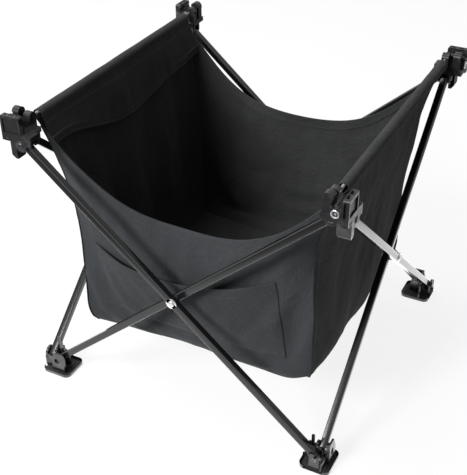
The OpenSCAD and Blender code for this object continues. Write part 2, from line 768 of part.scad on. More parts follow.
plugs(2, 1);  // outer_plugs_back
plugs(3, 1);  // outer_plugs_right
plugs(0, -1);  // inner_plugs_front
plugs(1, -1);  // inner_plugs_left
plugs(2, -1);  // inner_plugs_back
plugs(3, -1);  // inner_plugs_right
rivet(0);  // rivet_front
rivet(1);  // rivet_left
rivet(2);  // rivet_back
rivet(3);  // rivet_right
spacer(0);  // spacer_front
spacer(1);  // spacer_left
spacer(2);  // spacer_back
spacer(3);  // spacer_right
edge_cord(-1);  // edge_cord_left
edge_cord(1);  // edge_cord_right
side_wall(-1);  // bag_wall_left
side_wall(1);  // bag_wall_right
end_wall(-1);  // bag_wall_front
end_wall(1);  // bag_wall_back
floor_half(-1);  // bag_floor_left
floor_half(1);  // bag_floor_right
pocket();  // front_pocket
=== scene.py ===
# Folding camping table base: crossed square tubes, four jaw hubs for a roll-up top,
# four stepped feet and a fabric storage bag with a front pocket, hung on elastic cords.
import math
import bpy
from mathutils import Matrix, Vector, noise
from mathutils.bvhtree import BVHTree


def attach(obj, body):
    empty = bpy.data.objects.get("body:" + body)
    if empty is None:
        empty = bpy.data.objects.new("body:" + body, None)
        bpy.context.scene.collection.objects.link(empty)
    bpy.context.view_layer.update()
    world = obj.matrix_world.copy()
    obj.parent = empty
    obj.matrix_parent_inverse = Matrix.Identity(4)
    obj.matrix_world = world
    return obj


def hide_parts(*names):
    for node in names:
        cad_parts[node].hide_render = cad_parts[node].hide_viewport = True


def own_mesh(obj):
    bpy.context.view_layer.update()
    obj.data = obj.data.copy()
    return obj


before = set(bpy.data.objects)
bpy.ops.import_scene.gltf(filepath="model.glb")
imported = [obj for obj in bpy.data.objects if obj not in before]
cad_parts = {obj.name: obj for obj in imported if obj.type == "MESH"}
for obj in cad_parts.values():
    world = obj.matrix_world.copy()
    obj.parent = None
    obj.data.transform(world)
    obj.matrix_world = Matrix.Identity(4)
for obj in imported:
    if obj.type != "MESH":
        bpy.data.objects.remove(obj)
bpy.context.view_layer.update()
MM = 0.001
CORNERS = ["front_right", "front_left", "back_left", "back_right"]
SIDES = ["front", "left", "back", "right"]

# Frame sizes in millimetres
SPAN, RISE, PIN_HEIGHT = 296, 260, 17
HALF = SPAN / 2
CORNER_STEP = 7.2
PLANE = HALF + CORNER_STEP
TUBE_W, TUBE_WALL, TUBE_GAP, TUBE_OVERHANG = 7, 0.9, 2.4, 2.6
TUBE_ROUND, TUBE_HOLLOW = 0.9, 13
PITCH = (TUBE_W + TUBE_GAP) / 2
TUBE_LEN = math.hypot(SPAN, RISE)
LEAN = math.atan2(RISE, SPAN)
HIGH_Z = PIN_HEIGHT + RISE
MID_Z = PIN_HEIGHT + RISE / 2
PIN_R = 1.5
EAR_SPAN = 12.6
FRONT_IN, SIDE_OUT = -CORNER_STEP + PITCH, CORNER_STEP + PITCH
FRONT_OUT, SIDE_IN = -CORNER_STEP - PITCH, CORNER_STEP - PITCH
RIVET_FROM_PINS = (7, -19.5, 13.4)
SPACER_FROM, SPACER_TO = 0.15, 2.15

# Bag sizes in millimetres
CORD_R, CORD_X, CORD_Z = 1.5, HALF + 1, HIGH_Z + 20
SLEEVE_R, SOLID_CLOTH, SLEEVE_PLAY = 5.5, 1.2, 0.3
SLEEVE_Z = CORD_Z - (SLEEVE_R - SOLID_CLOTH - CORD_R - SLEEVE_PLAY)
SIDE_FROM_TUBE, END_FROM_TUBE = 23, 22
BAG_HALF_W = PLANE - PITCH - TUBE_W / 2 - SIDE_FROM_TUBE
BAG_HALF_D = PLANE - PITCH - TUBE_W / 2 - END_FROM_TUBE
BAG_FLOOR, FLARE_FROM, HEM_R, HEM_IN, EDGE_LOW = 58, 150, 27, 8, 211
WALL_TOP = SLEEVE_Z - SLEEVE_R - 4
FACING_TOP = SLEEVE_Z - SLEEVE_R + 2
FOLD_DEPTH, SIDE_BELLY, END_BELLY, END_TUCK, TUCK_HEIGHT = 1.6, 3, 4, 8, 55
DEPTH_FLARE, DEEPEN_FROM = 12, 190
CORNER_FROM, CORNER_LIFT, CORNER_PULL = 0.65, 9, 6
ROLL_FROM, CORNER_ROLL = 0.78, 5
FACING_STAND = 5
POCKET_LEFT, POCKET_RIGHT, POCKET_SLANT = 106, 89, 9
POCKET_LOW, POCKET_HIGH, POCKET_DIP, POCKET_SLACK = 88, 171, 18, 9
POCKET_RISE = 0.085
CLOTH = 0.9
SEAM_HEIGHTS = range(64, 284, 3)
STITCH_R, STITCH_LEN, STITCH_SINK, STITCH_STEP, STITCH_REACH = 0.24, 1.3, 0.28, 3.3, 6
MOST_SETTLING = 4.5

# Rows and columns of points on the walls, and how the cloth settles
WALL_ROWS, SLEEVE_ROWS, FACING_ROWS, SIDE_COLS, END_COLS = 41, 15, 9, 43, 49
FACING_FIRST = WALL_ROWS + SLEEVE_ROWS
FACING_LAST = FACING_FIRST + FACING_ROWS - 1
SETTLING_FRAMES = 26
CLOTH_SETTINGS = {
    "quality": 6, "mass": 0.25, "tension_stiffness": 18, "compression_stiffness": 12, "shear_stiffness": 6,
    "bending_stiffness": 1.2, "vertex_group_mass": "held", "shrink_min": -0.008,
}
LEFT_RIGHT = {-1: "left", 1: "right"}
FRONT_BACK = {-1: "front", 1: "back"}

# Folds that the hanging cloth keeps: ends as (along the wall, height), depth and half width
FRONT_FOLDS = [
    ((128, 250), (92, 178), 2.2, 9), ((112, 215), (104, 70), -2.6, 9), ((124, 190), (126, 75), 2.0, 8),
    ((84, 150), (100, 80), 1.6, 8), ((-122, 170), (-98, 84), 1.8, 6), ((-108, 165), (-90, 96), -1.6, 6),
    ((-96, 150), (-84, 104), 1.4, 5), ((-60, 84), (30, 70), 1.8, 8), ((20, 118), (78, 96), 1.0, 10),
    ((-136, 262), (-96, 214), 2.0, 8), ((-70, 150), (-40, 90), -1.1, 9), ((30, 200), (84, 186), 1.2, 8),
]
BACK_FOLDS = [
    ((-120, 250), (-60, 190), 1.8, 10), ((118, 255), (50, 190), 1.8, 11), ((-90, 180), (-80, 80), 1.6, 12),
    ((70, 175), (80, 80), 1.4, 12), ((-20, 150), (-30, 80), 1.2, 14),
]
RIGHT_FOLDS = [
    ((-112, 270), (-96, 120), 2.0, 8), ((-90, 262), (-70, 90), -1.8, 9), ((-40, 250), (-52, 90), 1.8, 11),
    ((10, 255), (0, 110), -1.4, 12), ((60, 262), (36, 120), 1.8, 12), ((104, 262), (92, 100), 1.8, 9),
]
LEFT_FOLDS = [
    ((-104, 262), (-88, 100), 2.0, 9), ((-50, 240), (-62, 80), 1.6, 12), ((10, 235), (20, 90), 2.2, 12),
    ((48, 240), (56, 80), -2.4, 10), ((82, 250), (88, 90), 2.4, 9), ((112, 262), (112, 110), -1.8, 8),
]

# Camera, in metres: its axes to the right and backwards, and its place
CAMERA_RIGHT = (0.8912, 0.4535, -0.0068)
CAMERA_BACK = (0.3807, -0.7399, 0.5547)
CAMERA_PLACE = (0.3640, -0.7444, 0.6753)

# Turns that lay a piece drawn along Z along Y: its top to the front, or to the back
TOP_TO_FRONT = Matrix.Rotation(math.pi / 2, 4, "X")
TOP_TO_BACK = Matrix.Rotation(-math.pi / 2, 4, "X")


def new_object(name, data):
    piece = bpy.data.objects.new(name, data)
    bpy.context.collection.objects.link(piece)
    return piece


def mesh_piece(name, points, faces):
    mesh = bpy.data.meshes.new(name)
    mesh.from_pydata(points, [], faces)
    return new_object(name, mesh)


def moved(x=0, y=0, z=0):
    """A move in millimetres."""
    return Matrix.Translation((x * MM, y * MM, z * MM))


def clamped(value):
    return min(1, max(0, value))


# Camera, light and floor
def place_camera():
    camera = new_object("camera", bpy.data.cameras.new("camera"))
    right = Vector(CAMERA_RIGHT).normalized()
    back = Vector(CAMERA_BACK).normalized()
    up = back.cross(right).normalized()
    right = up.cross(back)
    turn = Matrix((right, up, back)).transposed().to_4x4()
    camera.matrix_world = Matrix.Translation(CAMERA_PLACE) @ turn
    camera.data.lens = 71.17
    camera.data.sensor_width = 36
    camera.data.clip_start = 0.05
    bpy.context.scene.camera = camera
    bpy.context.scene.view_settings.view_transform = "Standard"


def add_light(name, place, target, size, power):
    lamp = bpy.data.lights.new(name, "AREA")
    lamp.shape = "DISK"
    lamp.size = size
    lamp.energy = power
    holder = new_object(name, lamp)
    holder.location = place
    aim = Vector(target) - Vector(place)
    holder.rotation_euler = aim.to_track_quat("-Z", "Y").to_euler()


def light_studio():
    add_light("key_light", (-0.9, -2.0, 1.6), (0, 0, 0.15), 0.9, 95)
    add_light("top_light", (-0.8, 0.0, 2.1), (0, 0, 0.1), 1.2, 30)
    world = bpy.data.worlds.new("studio")
    bpy.context.scene.world = world
    world.use_nodes = True
    tree = world.node_tree
    path = tree.nodes.new("ShaderNodeLightPath").outputs
    seen = calc(tree, "ADD", path["Is Camera Ray"], path["Is Glossy Ray"], clamp=True)
    seen = calc(tree, "ADD", seen, path["Is Transmission Ray"], clamp=True)
    back = tree.nodes["Background"].inputs
    back["Color"].default_value = (1, 1, 1, 1)
    feed(tree, spread(tree, seen, 0, 1, 0.15, 1), back["Strength"])


def lay_floor():
    """Pale paper that keeps the shadow. Glossy rays see a painted reflection: a glow round the table that no
    lamp casts.
    """
    bpy.ops.object.select_all(action="DESELECT")
    bpy.ops.mesh.primitive_plane_add(size=14, location=(0, 0, 0))
    floor = bpy.context.object
    floor.name = "studio_floor"
    paper = bpy.data.materials.new("studio paper")
    paper.use_nodes = True
    tree = paper.node_tree
    tree.nodes.remove(tree.nodes["Principled BSDF"])
    matte = tree.nodes.new("ShaderNodeBsdfDiffuse")
    matte.inputs["Color"].default_value = (0.45, 0.45, 0.45, 1)
    glow = tree.nodes.new("ShaderNodeEmission")
    glow.inputs["Color"].default_value = (1, 1, 1, 1)
    away = tree.nodes.new("ShaderNodeVectorMath")
    away.operation = "LENGTH"
    feed(tree, object_place(tree), away.inputs[0])
    # Painted reflection: for glossy rays only, the floor glows at strength 3 within 0.34 m of the centre,
    # falling to 0.35 by 0.52 m
    reflected_glow = spread(tree, away.outputs["Value"], 0.34, 0.52, 3.0, 0.35)
    reflected_glow.node.interpolation_type = "SMOOTHSTEP"
    path = tree.nodes.new("ShaderNodeLightPath").outputs
    feed(tree, spread(tree, path["Is Glossy Ray"], 0, 1, 1.2, reflected_glow), glow.inputs["Strength"])
    seen = calc(tree, "ADD", path["Is Camera Ray"], path["Is Glossy Ray"], clamp=True)
    mix = tree.nodes.new("ShaderNodeMixShader")
    parts = (times(tree, seen, 0.72), matte.outputs[0], glow.outputs[0])
    for part, socket in zip(parts, mix.inputs):
        feed(tree, part, socket)
    feed(tree, mix.outputs[0], tree.nodes["Material Output"].inputs["Surface"])
    floor.data.materials.append(paper)


# Shader building blocks
def feed(tree, source, target):
    if isinstance(source, bpy.types.NodeSocket):
        tree.links.new(source, target)
    else:
        target.default_value = source


def calc(tree, operation, *values, clamp=False):
    node = tree.nodes.new("ShaderNodeMath")
    node.operation = operation
    node.use_clamp = clamp
    for value, socket in zip(values, node.inputs):
        feed(tree, value, socket)
    return node.outputs[0]


def times(tree, first, second, clamp=False):
    return calc(tree, "MULTIPLY", first, second, clamp=clamp)


def fill(tree, node, **values):
    """Feeds a node's inputs by name, and gives its outputs."""
    for name, value in values.items():
        feed(tree, value, node.inputs[name.replace("_", " ")])
    return node.outputs


def spread(tree, value, low, high, to_low=0.0, to_high=1.0):
    node = tree.nodes.new("ShaderNodeMapRange")
    return fill(tree, node, Value=value, From_Min=low, From_Max=high, To_Min=to_low, To_Max=to_high)[0]


def cloud(tree, vector, scale, detail=2.0, roughness=0.5, distortion=0.0):
    node = tree.nodes.new("ShaderNodeTexNoise")
    return fill(tree, node, Vector=vector, Scale=scale, Detail=detail, Roughness=roughness,
                Distortion=distortion)["Fac"]


def cells(tree, vector, scale):
    node = tree.nodes.new("ShaderNodeTexVoronoi")
    return fill(tree, node, Vector=vector, Scale=scale)["Distance"]


def stretched(tree, vector, scale):
    node = tree.nodes.new("ShaderNodeMapping")
    return fill(tree, node, Vector=vector, Scale=scale)["Vector"]


def blend(tree, share, first, second):
    node = tree.nodes.new("ShaderNodeMix")
    node.data_type = "RGBA"
    feed(tree, share, node.inputs["Factor"])
    for value, name in ((first, "A"), (second, "B")):
        socket = [s for s in node.inputs if s.name == name and s.type == "RGBA"][0]
        feed(tree, value, socket)
    return [s for s in node.outputs if s.type == "RGBA"][0]


def new_group(name, numbers, outputs):
    """A node group that takes a vector and the numbers given, and gives out numbers."""
    group = bpy.data.node_groups.new(name, "ShaderNodeTree")
    group.interface.new_socket(name="Vector", in_out="INPUT", socket_type="NodeSocketVector")
    for label, value in numbers.items():
        socket = group.interface.new_socket(name=label, in_out="INPUT", socket_type="NodeSocketFloat")
        socket.default_value = value
    for label in outputs:
        group.interface.new_socket(name=label, in_out="OUTPUT", socket_type="NodeSocketFloat")
    entry = group.nodes.new("NodeGroupInput")
    leave = group.nodes.new("NodeGroupOutput")
    return group, entry.outputs, leave.inputs


def use_group(tree, name, **values):
    node = tree.nodes.new("ShaderNodeGroup")
    node.node_tree = GROUPS[name]
    return fill(tree, node, **values)


def make_plain_weave():
    """Over and under threads of a plain weave, from a flat cloth place in metres."""
    group, given, result = new_group("plain weave", {"Threads": 1900.0, "Unevenness": 0.25},
                                     ["Height", "Warp", "Slub"])
    apart = group.nodes.new("ShaderNodeSeparateXYZ")
    group.links.new(given["Vector"], apart.inputs[0])
    turns = times(group, given["Threads"], math.pi)
    waves = []
    for axis, scale in (("X", (60, 900, 1)), ("Y", (900, 60, 1))):
        wander = cloud(group, stretched(group, given["Vector"], scale), 1.0, 1.0)
        shift = times(group, calc(group, "SUBTRACT", wander, 0.5), given["Unevenness"])
        angle = calc(group, "MULTIPLY_ADD", apart.outputs[axis], turns, times(group, shift, 6.0))
        waves.append(calc(group, "SINE", angle))
    product = times(group, waves[0], waves[1])
    feed(group, calc(group, "POWER", calc(group, "ABSOLUTE", product), 0.7), result["Height"])
    feed(group, calc(group, "MULTIPLY_ADD", product, 0.5, 0.5, clamp=True), result["Warp"])
    slub = cloud(group, stretched(group, given["Vector"], (160, 2400, 1)), 1.0, 2.0, 0.6)
    other = cloud(group, stretched(group, given["Vector"], (2400, 160, 1)), 1.0, 2.0, 0.6)
    feed(group, calc(group, "ADD", times(group, slub, 0.5), times(group, other, 0.5)),
         result["Slub"])
    return group


def make_soft_creases():
    """Rumples that cloth keeps: broad swells with a few sharper lines, and painted shade that is lighter on
    the swells and darker between them.
    """
    group, given, result = new_group("soft creases", {"Scale": 14.0, "Sharpness": 0.5}, ["Height", "Shade"])
    broad = cloud(group, given["Vector"], given["Scale"], 2.0, 0.45, 0.8)
    fine = cloud(group, given["Vector"], times(group, given["Scale"], 3.1), 2.0, 0.5, 1.6)
    line = calc(group, "SUBTRACT", 1.0, calc(group, "ABSOLUTE", calc(group, "MULTIPLY_ADD", fine, 2.0, -1.0)))
    line = calc(group, "POWER", line, 6.0)
    height = calc(group, "MULTIPLY_ADD", line, times(group, given["Sharpness"], 0.3), broad)
    feed(group, height, result["Height"])
    # Painted shade: the colour is lighter on the broad swells and darker in the hollows between them
    feed(group, spread(group, broad, 0.35, 0.65), result["Shade"])
    return group


def make_moulded_grain():
    """Fine spark-eroded grain of a moulding tool, with slow gloss changes."""
    group, given, result = new_group("moulded grain", {"Scale": 2600.0}, ["Height", "Gloss"])
    pits = cells(group, given["Vector"], given["Scale"])
    fine = cloud(group, given["Vector"], times(group, given["Scale"], 1.7), 2.0)
    fine = times(group, fine, 0.4)
    feed(group, calc(group, "MULTIPLY_ADD", pits, 0.6, fine), result["Height"])
    slow = cloud(group, given["Vector"], 70.0, 3.0, 0.6)
    feed(group, spread(group, slow, 0.3, 0.7), result["Gloss"])
    return group


def make_rubbed_edges():
    """Where handling has polished or bared the outer edges."""
    group, given, result = new_group("rubbed edges", {"Reach": 0.06, "Patchiness": 160.0}, ["Mask"])
    shape = group.nodes.new("ShaderNodeNewGeometry")
    edge = calc(group, "DIVIDE", calc(group, "SUBTRACT", shape.outputs["Pointiness"], 0.52), given["Reach"],
                clamp=True)
    patch = cloud(group, given["Vector"], given["Patchiness"], 3.0, 0.6)
    feed(group, times(group, edge, spread(group, patch, 0.42, 0.62)), result["Mask"])
    return group


def make_dust():
    """Sparse pale specks and a thin film of dust."""
    group, given, result = new_group("dust", {"Scale": 900.0, "Amount": 0.5}, ["Mask"])
    specks = cells(group, given["Vector"], given["Scale"])
    dots = spread(group, specks, 0.05, 0.14, 1.0, 0.0)
    place = spread(group, cloud(group, given["Vector"], 35.0, 3.0), 0.52, 0.7)
    film = spread(group, cloud(group, given["Vector"], 11.0, 4.0), 0.45, 0.8, 0.0, 0.35)
    both = calc(group, "MULTIPLY_ADD", dots, place, film, clamp=True)
    feed(group, times(group, both, given["Amount"], clamp=True), result["Mask"])
    return group


def new_material(name):
    material = bpy.data.materials.new(name)
    material.use_nodes = True
    tree = material.node_tree
    return material, tree, tree.nodes["Principled BSDF"]


def object_place(tree):
    return tree.nodes.new("ShaderNodeTexCoord").outputs["Object"]


def cloth_place(tree, name="cloth"):
    node = tree.nodes.new("ShaderNodeUVMap")
    node.uv_map = name
    return node.outputs["UV"]


def bump(tree, height, distance, strength=1.0, under=None):
    node = tree.nodes.new("ShaderNodeBump")
    if under is not None:
        tree.links.new(under, node.inputs["Normal"])
    return fill(tree, node, Height=height, Distance=distance, Strength=strength)["Normal"]


def make_moulding(name, colour, rubbed, roughness, grain, wear, shine=0.2):
    """Black moulded nylon: grain, slow gloss changes, rubbed edges and a little dust."""
    material, tree, shader = new_material(name)
    place = object_place(tree)
    grained = use_group(tree, "grain", Vector=place, Scale=grain)
    worn = use_group(tree, "edges", Vector=place)["Mask"]
    dust = use_group(tree, "dust", Vector=place, Scale=700.0, Amount=0.5)["Mask"]
    tone = blend(tree, grained["Gloss"], colour, [c * 1.35 for c in colour[:3]] + [1])
    tone = blend(tree, times(tree, worn, wear), tone, rubbed)
    tone = blend(tree, times(tree, dust, 0.16), tone, (0.2, 0.2, 0.2, 1))
    rough = calc(tree, "MULTIPLY_ADD", grained["Gloss"], 0.1, roughness - 0.05)
    fill(tree, shader, Base_Color=tone, Roughness=calc(tree, "MULTIPLY_ADD", worn, -0.12, rough),
         Specular_IOR_Level=shine, Normal=bump(tree, grained["Height"], 0.00004, 0.55))
    return material


def make_tube_coat():
    """Glossy black coat on the square tubes, drawn along their length, with a painted highlight along each
    rounded edge.
    """
    material, tree, shader = new_material("glossy black coat")
    place = cloth_place(tree, "along")
    across = tree.nodes.new("ShaderNodeSeparateXYZ")
    feed(tree, place, across.inputs[0])
    lines = cloud(tree, stretched(tree, place, (18, 3200, 1)), 1.0, 3.0, 0.6)
    scuffs = cloud(tree, stretched(tree, place, (260, 900, 1)), 1.0, 4.0, 0.65, 0.6)
    marks = spread(tree, scuffs, 0.66, 0.72)
    dust = use_group(tree, "dust", Vector=object_place(tree), Scale=800.0, Amount=0.35)["Mask"]
    # Painted highlight: along both edges of each face the colour is lightened, standing in for the gloss on
    # the rounded corners; the same band also adds clear coat there
    strip = calc(tree, "MODULO", calc(tree, "ADD", across.outputs["Y"], 0.01), 0.02)
    middle = calc(tree, "SUBTRACT", strip, 0.01)
    edge = spread(tree, calc(tree, "ABSOLUTE", middle), 0.0026, 0.0031)
    tone = blend(tree, lines, (0.0045, 0.0047, 0.005, 1), (0.0085, 0.0088, 0.0095, 1))
    # Painted highlight blended into the colour along the face edges
    tone = blend(tree, times(tree, edge, 0.5), tone, (0.07, 0.072, 0.075, 1))
    tone = blend(tree, times(tree, marks, 0.35), tone, (0.06, 0.06, 0.062, 1))
    tone = blend(tree, times(tree, dust, 0.12), tone, (0.25, 0.25, 0.25, 1))
    rough = spread(tree, lines, 0.3, 0.7, 0.14, 0.22)
    fill(tree, shader, Base_Color=tone, Roughness=calc(tree, "MULTIPLY_ADD", marks, 0.2, rough), IOR=1.35,
         Coat_Weight=times(tree, edge, 0.3), Coat_Roughness=0.12, Normal=bump(tree, lines, 0.00003, 0.35))
    return material


def make_steel(name, colour, roughness, dulled):
    """Bare steel, turned or drawn, with faint marks and dulled patches."""
    material, tree, shader = new_material(name)
    place = object_place(tree)
    marks = cloud(tree, stretched(tree, place, (1500, 1500, 400)), 1.0, 3.0, 0.6)
    patches = cloud(tree, place, 260.0, 4.0, 0.6)
    worn = use_group(tree, "edges", Vector=place, Reach=0.05)["Mask"]
    share = spread(tree, patches, 0.5, 0.68, 0.0, dulled)
    tone = blend(tree, share, colour, [c * 0.45 for c in colour[:3]] + [1])
    tone = blend(tree, times(tree, worn, 0.4), tone, (0.9, 0.9, 0.9, 1))
    fill(tree, shader, Base_Color=tone, Metallic=1,
         Roughness=spread(tree, marks, 0.3, 0.7, roughness - 0.06, roughness + 0.1),
         Normal=bump(tree, marks, 0.00002, 0.4))
    return material


def make_rubber():
    """Dull black rubber of the sole pads, greyed by the ground."""
    material, tree, shader = new_material("dull black rubber")
    place = object_place(tree)
    grained = use_group(tree, "grain", Vector=place, Scale=1500.0)
    soil = spread(tree, cloud(tree, place, 90.0, 5.0, 0.6), 0.45, 0.75, 0.0, 0.5)
    tone = blend(tree, soil, (0.012, 0.012, 0.012, 1), (0.06, 0.056, 0.05, 1))
    fill(tree, shader, Base_Color=tone, Roughness=spread(tree, grained["Gloss"], 0.0, 1.0, 0.75, 0.92),
         Normal=bump(tree, grained["Height"], 0.00008, 0.6))
    return material


def make_fabric(name, colour, light, creases, crease_depth):
    """Plain woven polyester: threads, slubs, rumples, lint, a soft sheen and painted shade that follows the
    rumples.
    """
    material, tree, shader = new_material(name)
    place = cloth_place(tree)
    weave = use_group(tree, "weave", Vector=place)
    rumple = use_group(tree, "creases", Vector=place, Scale=creases)
    lint = use_group(tree, "dust", Vector=place, Scale=520.0, Amount=0.6)["Mask"]
    tone = blend(tree, weave["Warp"], colour, light)
    shade = spread(tree, weave["Slub"], 0.3, 0.7, 0.72, 1.28)
    # Painted shade from the rumples, on top of the slubs' own tone variation
    shade = times(tree, shade, spread(tree, rumple["Shade"], 0.0, 1.0, 0.9, 1.1))
    node = tree.nodes.new("ShaderNodeVectorMath")
    node.operation = "SCALE"
    feed(tree, tone, node.inputs[0])
    feed(tree, shade, node.inputs["Scale"])
    tone = blend(tree, times(tree, lint, 0.1), node.outputs[0], (0.3, 0.3, 0.3, 1))
    soft = bump(tree, rumple["Height"], crease_depth, 1.0)
    fill(tree, shader, Base_Color=tone, Roughness=spread(tree, weave["Height"], 0.0, 1.0, 0.95, 0.78),
         Sheen_Weight=0.04, Sheen_Roughness=0.45, Specular_IOR_Level=0.12,
         Normal=bump(tree, weave["Height"], 0.00012, 0.7, soft))
    return material


def make_thread():
    """Twisted black sewing thread, a little shinier than the cloth."""
    material, tree, shader = new_material("twisted sewing thread")
    place = cloth_place(tree)
    wave = tree.nodes.new("ShaderNodeTexWave")
    wave.bands_direction = "DIAGONAL"
    feed(tree, place, wave.inputs["Vector"])
    wave.inputs["Scale"].default_value = 900
    tone = blend(tree, wave.outputs["Fac"], (0.008, 0.008, 0.009, 1), (0.026, 0.027, 0.029, 1))
    fill(tree, shader, Base_Color=tone, Roughness=spread(tree, wave.outputs["Fac"], 0.0, 1.0, 0.65, 0.5),
         Normal=bump(tree, wave.outputs["Fac"], 0.00008, 0.8))
    return material


def make_cord_braid():
    """Round elastic cord with a light grey braided cover."""
    material, tree, shader = new_material("braided grey cord")
    place = cloth_place(tree)
    turned = tree.nodes.new("ShaderNodeMapping")
    turned.inputs["Rotation"].default_value = (0, 0, math.radians(45))
    feed(tree, place, turned.inputs["Vector"])
    weave = use_group(tree, "weave", Vector=turned.outputs["Vector"], Threads=1350.0, Unevenness=0.1)
    soil = spread(tree, cloud(tree, place, 120.0, 4.0), 0.45, 0.7, 0.0, 0.35)
    tone = blend(tree, weave["Warp"], (0.17, 0.175, 0.18, 1), (0.34, 0.345, 0.35, 1))
    fill(tree, shader, Base_Color=blend(tree, soil, tone, (0.09, 0.09, 0.09, 1)),
         Roughness=spread(tree, weave["Height"], 0.0, 1.0, 0.9, 0.65), Sheen_Weight=0.15,
         Normal=bump(tree, weave["Height"], 0.00025, 0.9))
    return material


# Modelling
def activate(piece):
    bpy.ops.object.select_all(action="DESELECT")
    piece.select_set(True)
    bpy.context.view_layer.objects.active = piece


def apply_modifier(piece, kind, **settings):
    activate(piece)
    modifier = piece.modifiers.new(kind.lower(), kind)
    for name, value in settings.items():
        setattr(modifier, name, value)
    bpy.ops.object.modifier_apply(modifier=modifier.name)


def enter_edit():
    bpy.ops.object.mode_set(mode="EDIT")


def leave_edit():
    bpy.ops.object.mode_set(mode="OBJECT")


def clear_picks(kind):
    enter_edit()
    bpy.ops.mesh.select_mode(type=kind)
    bpy.ops.mesh.select_all(action="DESELECT")
    leave_edit()


def pick_faces(piece, wanted):
    clear_picks("FACE")
    for face in piece.data.polygons:
        face.select = wanted(face)
    enter_edit()


def pick_edges(piece, wanted):
    clear_picks("EDGE")
    points = piece.data.vertices
    for edge in piece.data.edges:
        edge.select = wanted(points[edge.vertices[0]].co, points[edge.vertices[1]].co)
    enter_edit()


def pull_out(x=0, y=0, z=0):
    """Extrudes the picked faces by a move in millimetres."""
    bpy.ops.mesh.extrude_region_move(TRANSFORM_OT_translate={"value": (x * MM, y * MM, z * MM)})


def smooth_faces(piece, angle=45):
    activate(piece)
    bpy.ops.object.shade_smooth_by_angle(angle=math.radians(angle))


def pick_all(piece):
    activate(piece)
    enter_edit()
    bpy.ops.mesh.select_all(action="SELECT")


def drop_slivers(piece):
    """Merges the points that rounding leaves on one spot, and dissolves faces without area."""
    pick_all(piece)
    bpy.ops.mesh.remove_doubles(threshold=5e-6)
    bpy.ops.mesh.dissolve_degenerate(threshold=5e-6)
    leave_edit()


def round_edges(piece, width):
    apply_modifier(piece, "BEVEL", width=width * MM, segments=3, limit_method="ANGLE",
                   angle_limit=math.radians(35), use_clamp_overlap=True)
    drop_slivers(piece)
    smooth_faces(piece)
    apply_modifier(piece, "WEIGHTED_NORMAL", keep_sharp=True, weight=50)


def smooth_all(piece):
    for face in piece.data.polygons:
        face.use_smooth = True


def lay_flat(piece, flat_place):
    """Gives the cloth map of a piece: flat_place turns a point into its flat place in metres."""
    layers = piece.data.uv_layers
    layer = layers[0] if layers else layers.new(name="cloth")
    layer.name = "cloth"
    for loop in piece.data.loops:
        layer.data[loop.index].uv = flat_place(piece.data.vertices[loop.vertex_index])


def copy_piece(piece, name, matrix):
    twin = new_object(name, piece.data.copy())
    twin.data.transform(matrix)
    return twin


def join_pieces(name, pieces):
    activate(pieces[0])
    for piece in pieces[1:]:
        piece.select_set(True)
    bpy.ops.object.join()
    pieces[0].name = name
    return pieces[0]


def remove_piece(piece):
    mesh = piece.data
    bpy.data.objects.remove(piece)
    bpy.data.meshes.remove(mesh)


def merged_copy(node, name):
    """A copy of a moulded solid, its loose triangles merged to whole faces."""
    piece = new_object(name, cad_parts[node].data.copy())
    pick_all(piece)
    bpy.ops.mesh.remove_doubles(threshold=2e-6)
    bpy.ops.mesh.dissolve_limited(angle_limit=math.radians(0.4))
    leave_edit()
    piece.data.materials.clear()
    return piece


def quarter_turn(k):
    return Matrix.Rotation(-k * math.pi / 2, 4, "Z")


def corner_place(z):
    return moved(HALF, -HALF, z)


def finish_piece(piece, material, body, slot, *nodes):
    piece.data.materials.clear()
    piece.data.materials.append(MATERIALS[material])
    if nodes:
        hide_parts(*nodes)
    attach(piece, body)


# Hubs, feet and plugs
def dress_mouldings():
    """Hubs, feet, soles and plugs: rounded copies of their solids, one corner modelled and copied."""
    work = [
        ("jaw_hub", "hub", 0.3, "hub", "hub", "black_plastic"),
        ("stepped_foot", "foot", 0.35, "foot", "foot", "black_plastic"),
        ("sole_pad", "sole", 0.2, "rubber", "foot", "rubber"),
    ]
    for label, node, width, material, body, slot in work:
        first = merged_copy(node + "_front_right", label)
        round_edges(first, width)
        for k, corner in enumerate(CORNERS):
            piece = copy_piece(first, label + "_" + corner, quarter_turn(k))
            finish_piece(piece, material, body + "_" + corner, slot, node + "_" + corner)
        remove_piece(first)
    for row in ("outer", "inner"):
        first = merged_copy(row + "_plugs_front", row + "_plug")
        round_edges(first, 0.25)
        for k, side in enumerate(SIDES):
            piece = copy_piece(first, row + "_end_plugs_" + side, quarter_turn(k))
            finish_piece(piece, "plug", row + "_tube_" + side, "black_plastic",
                         row + "_plugs_" + side)
        remove_piece(first)


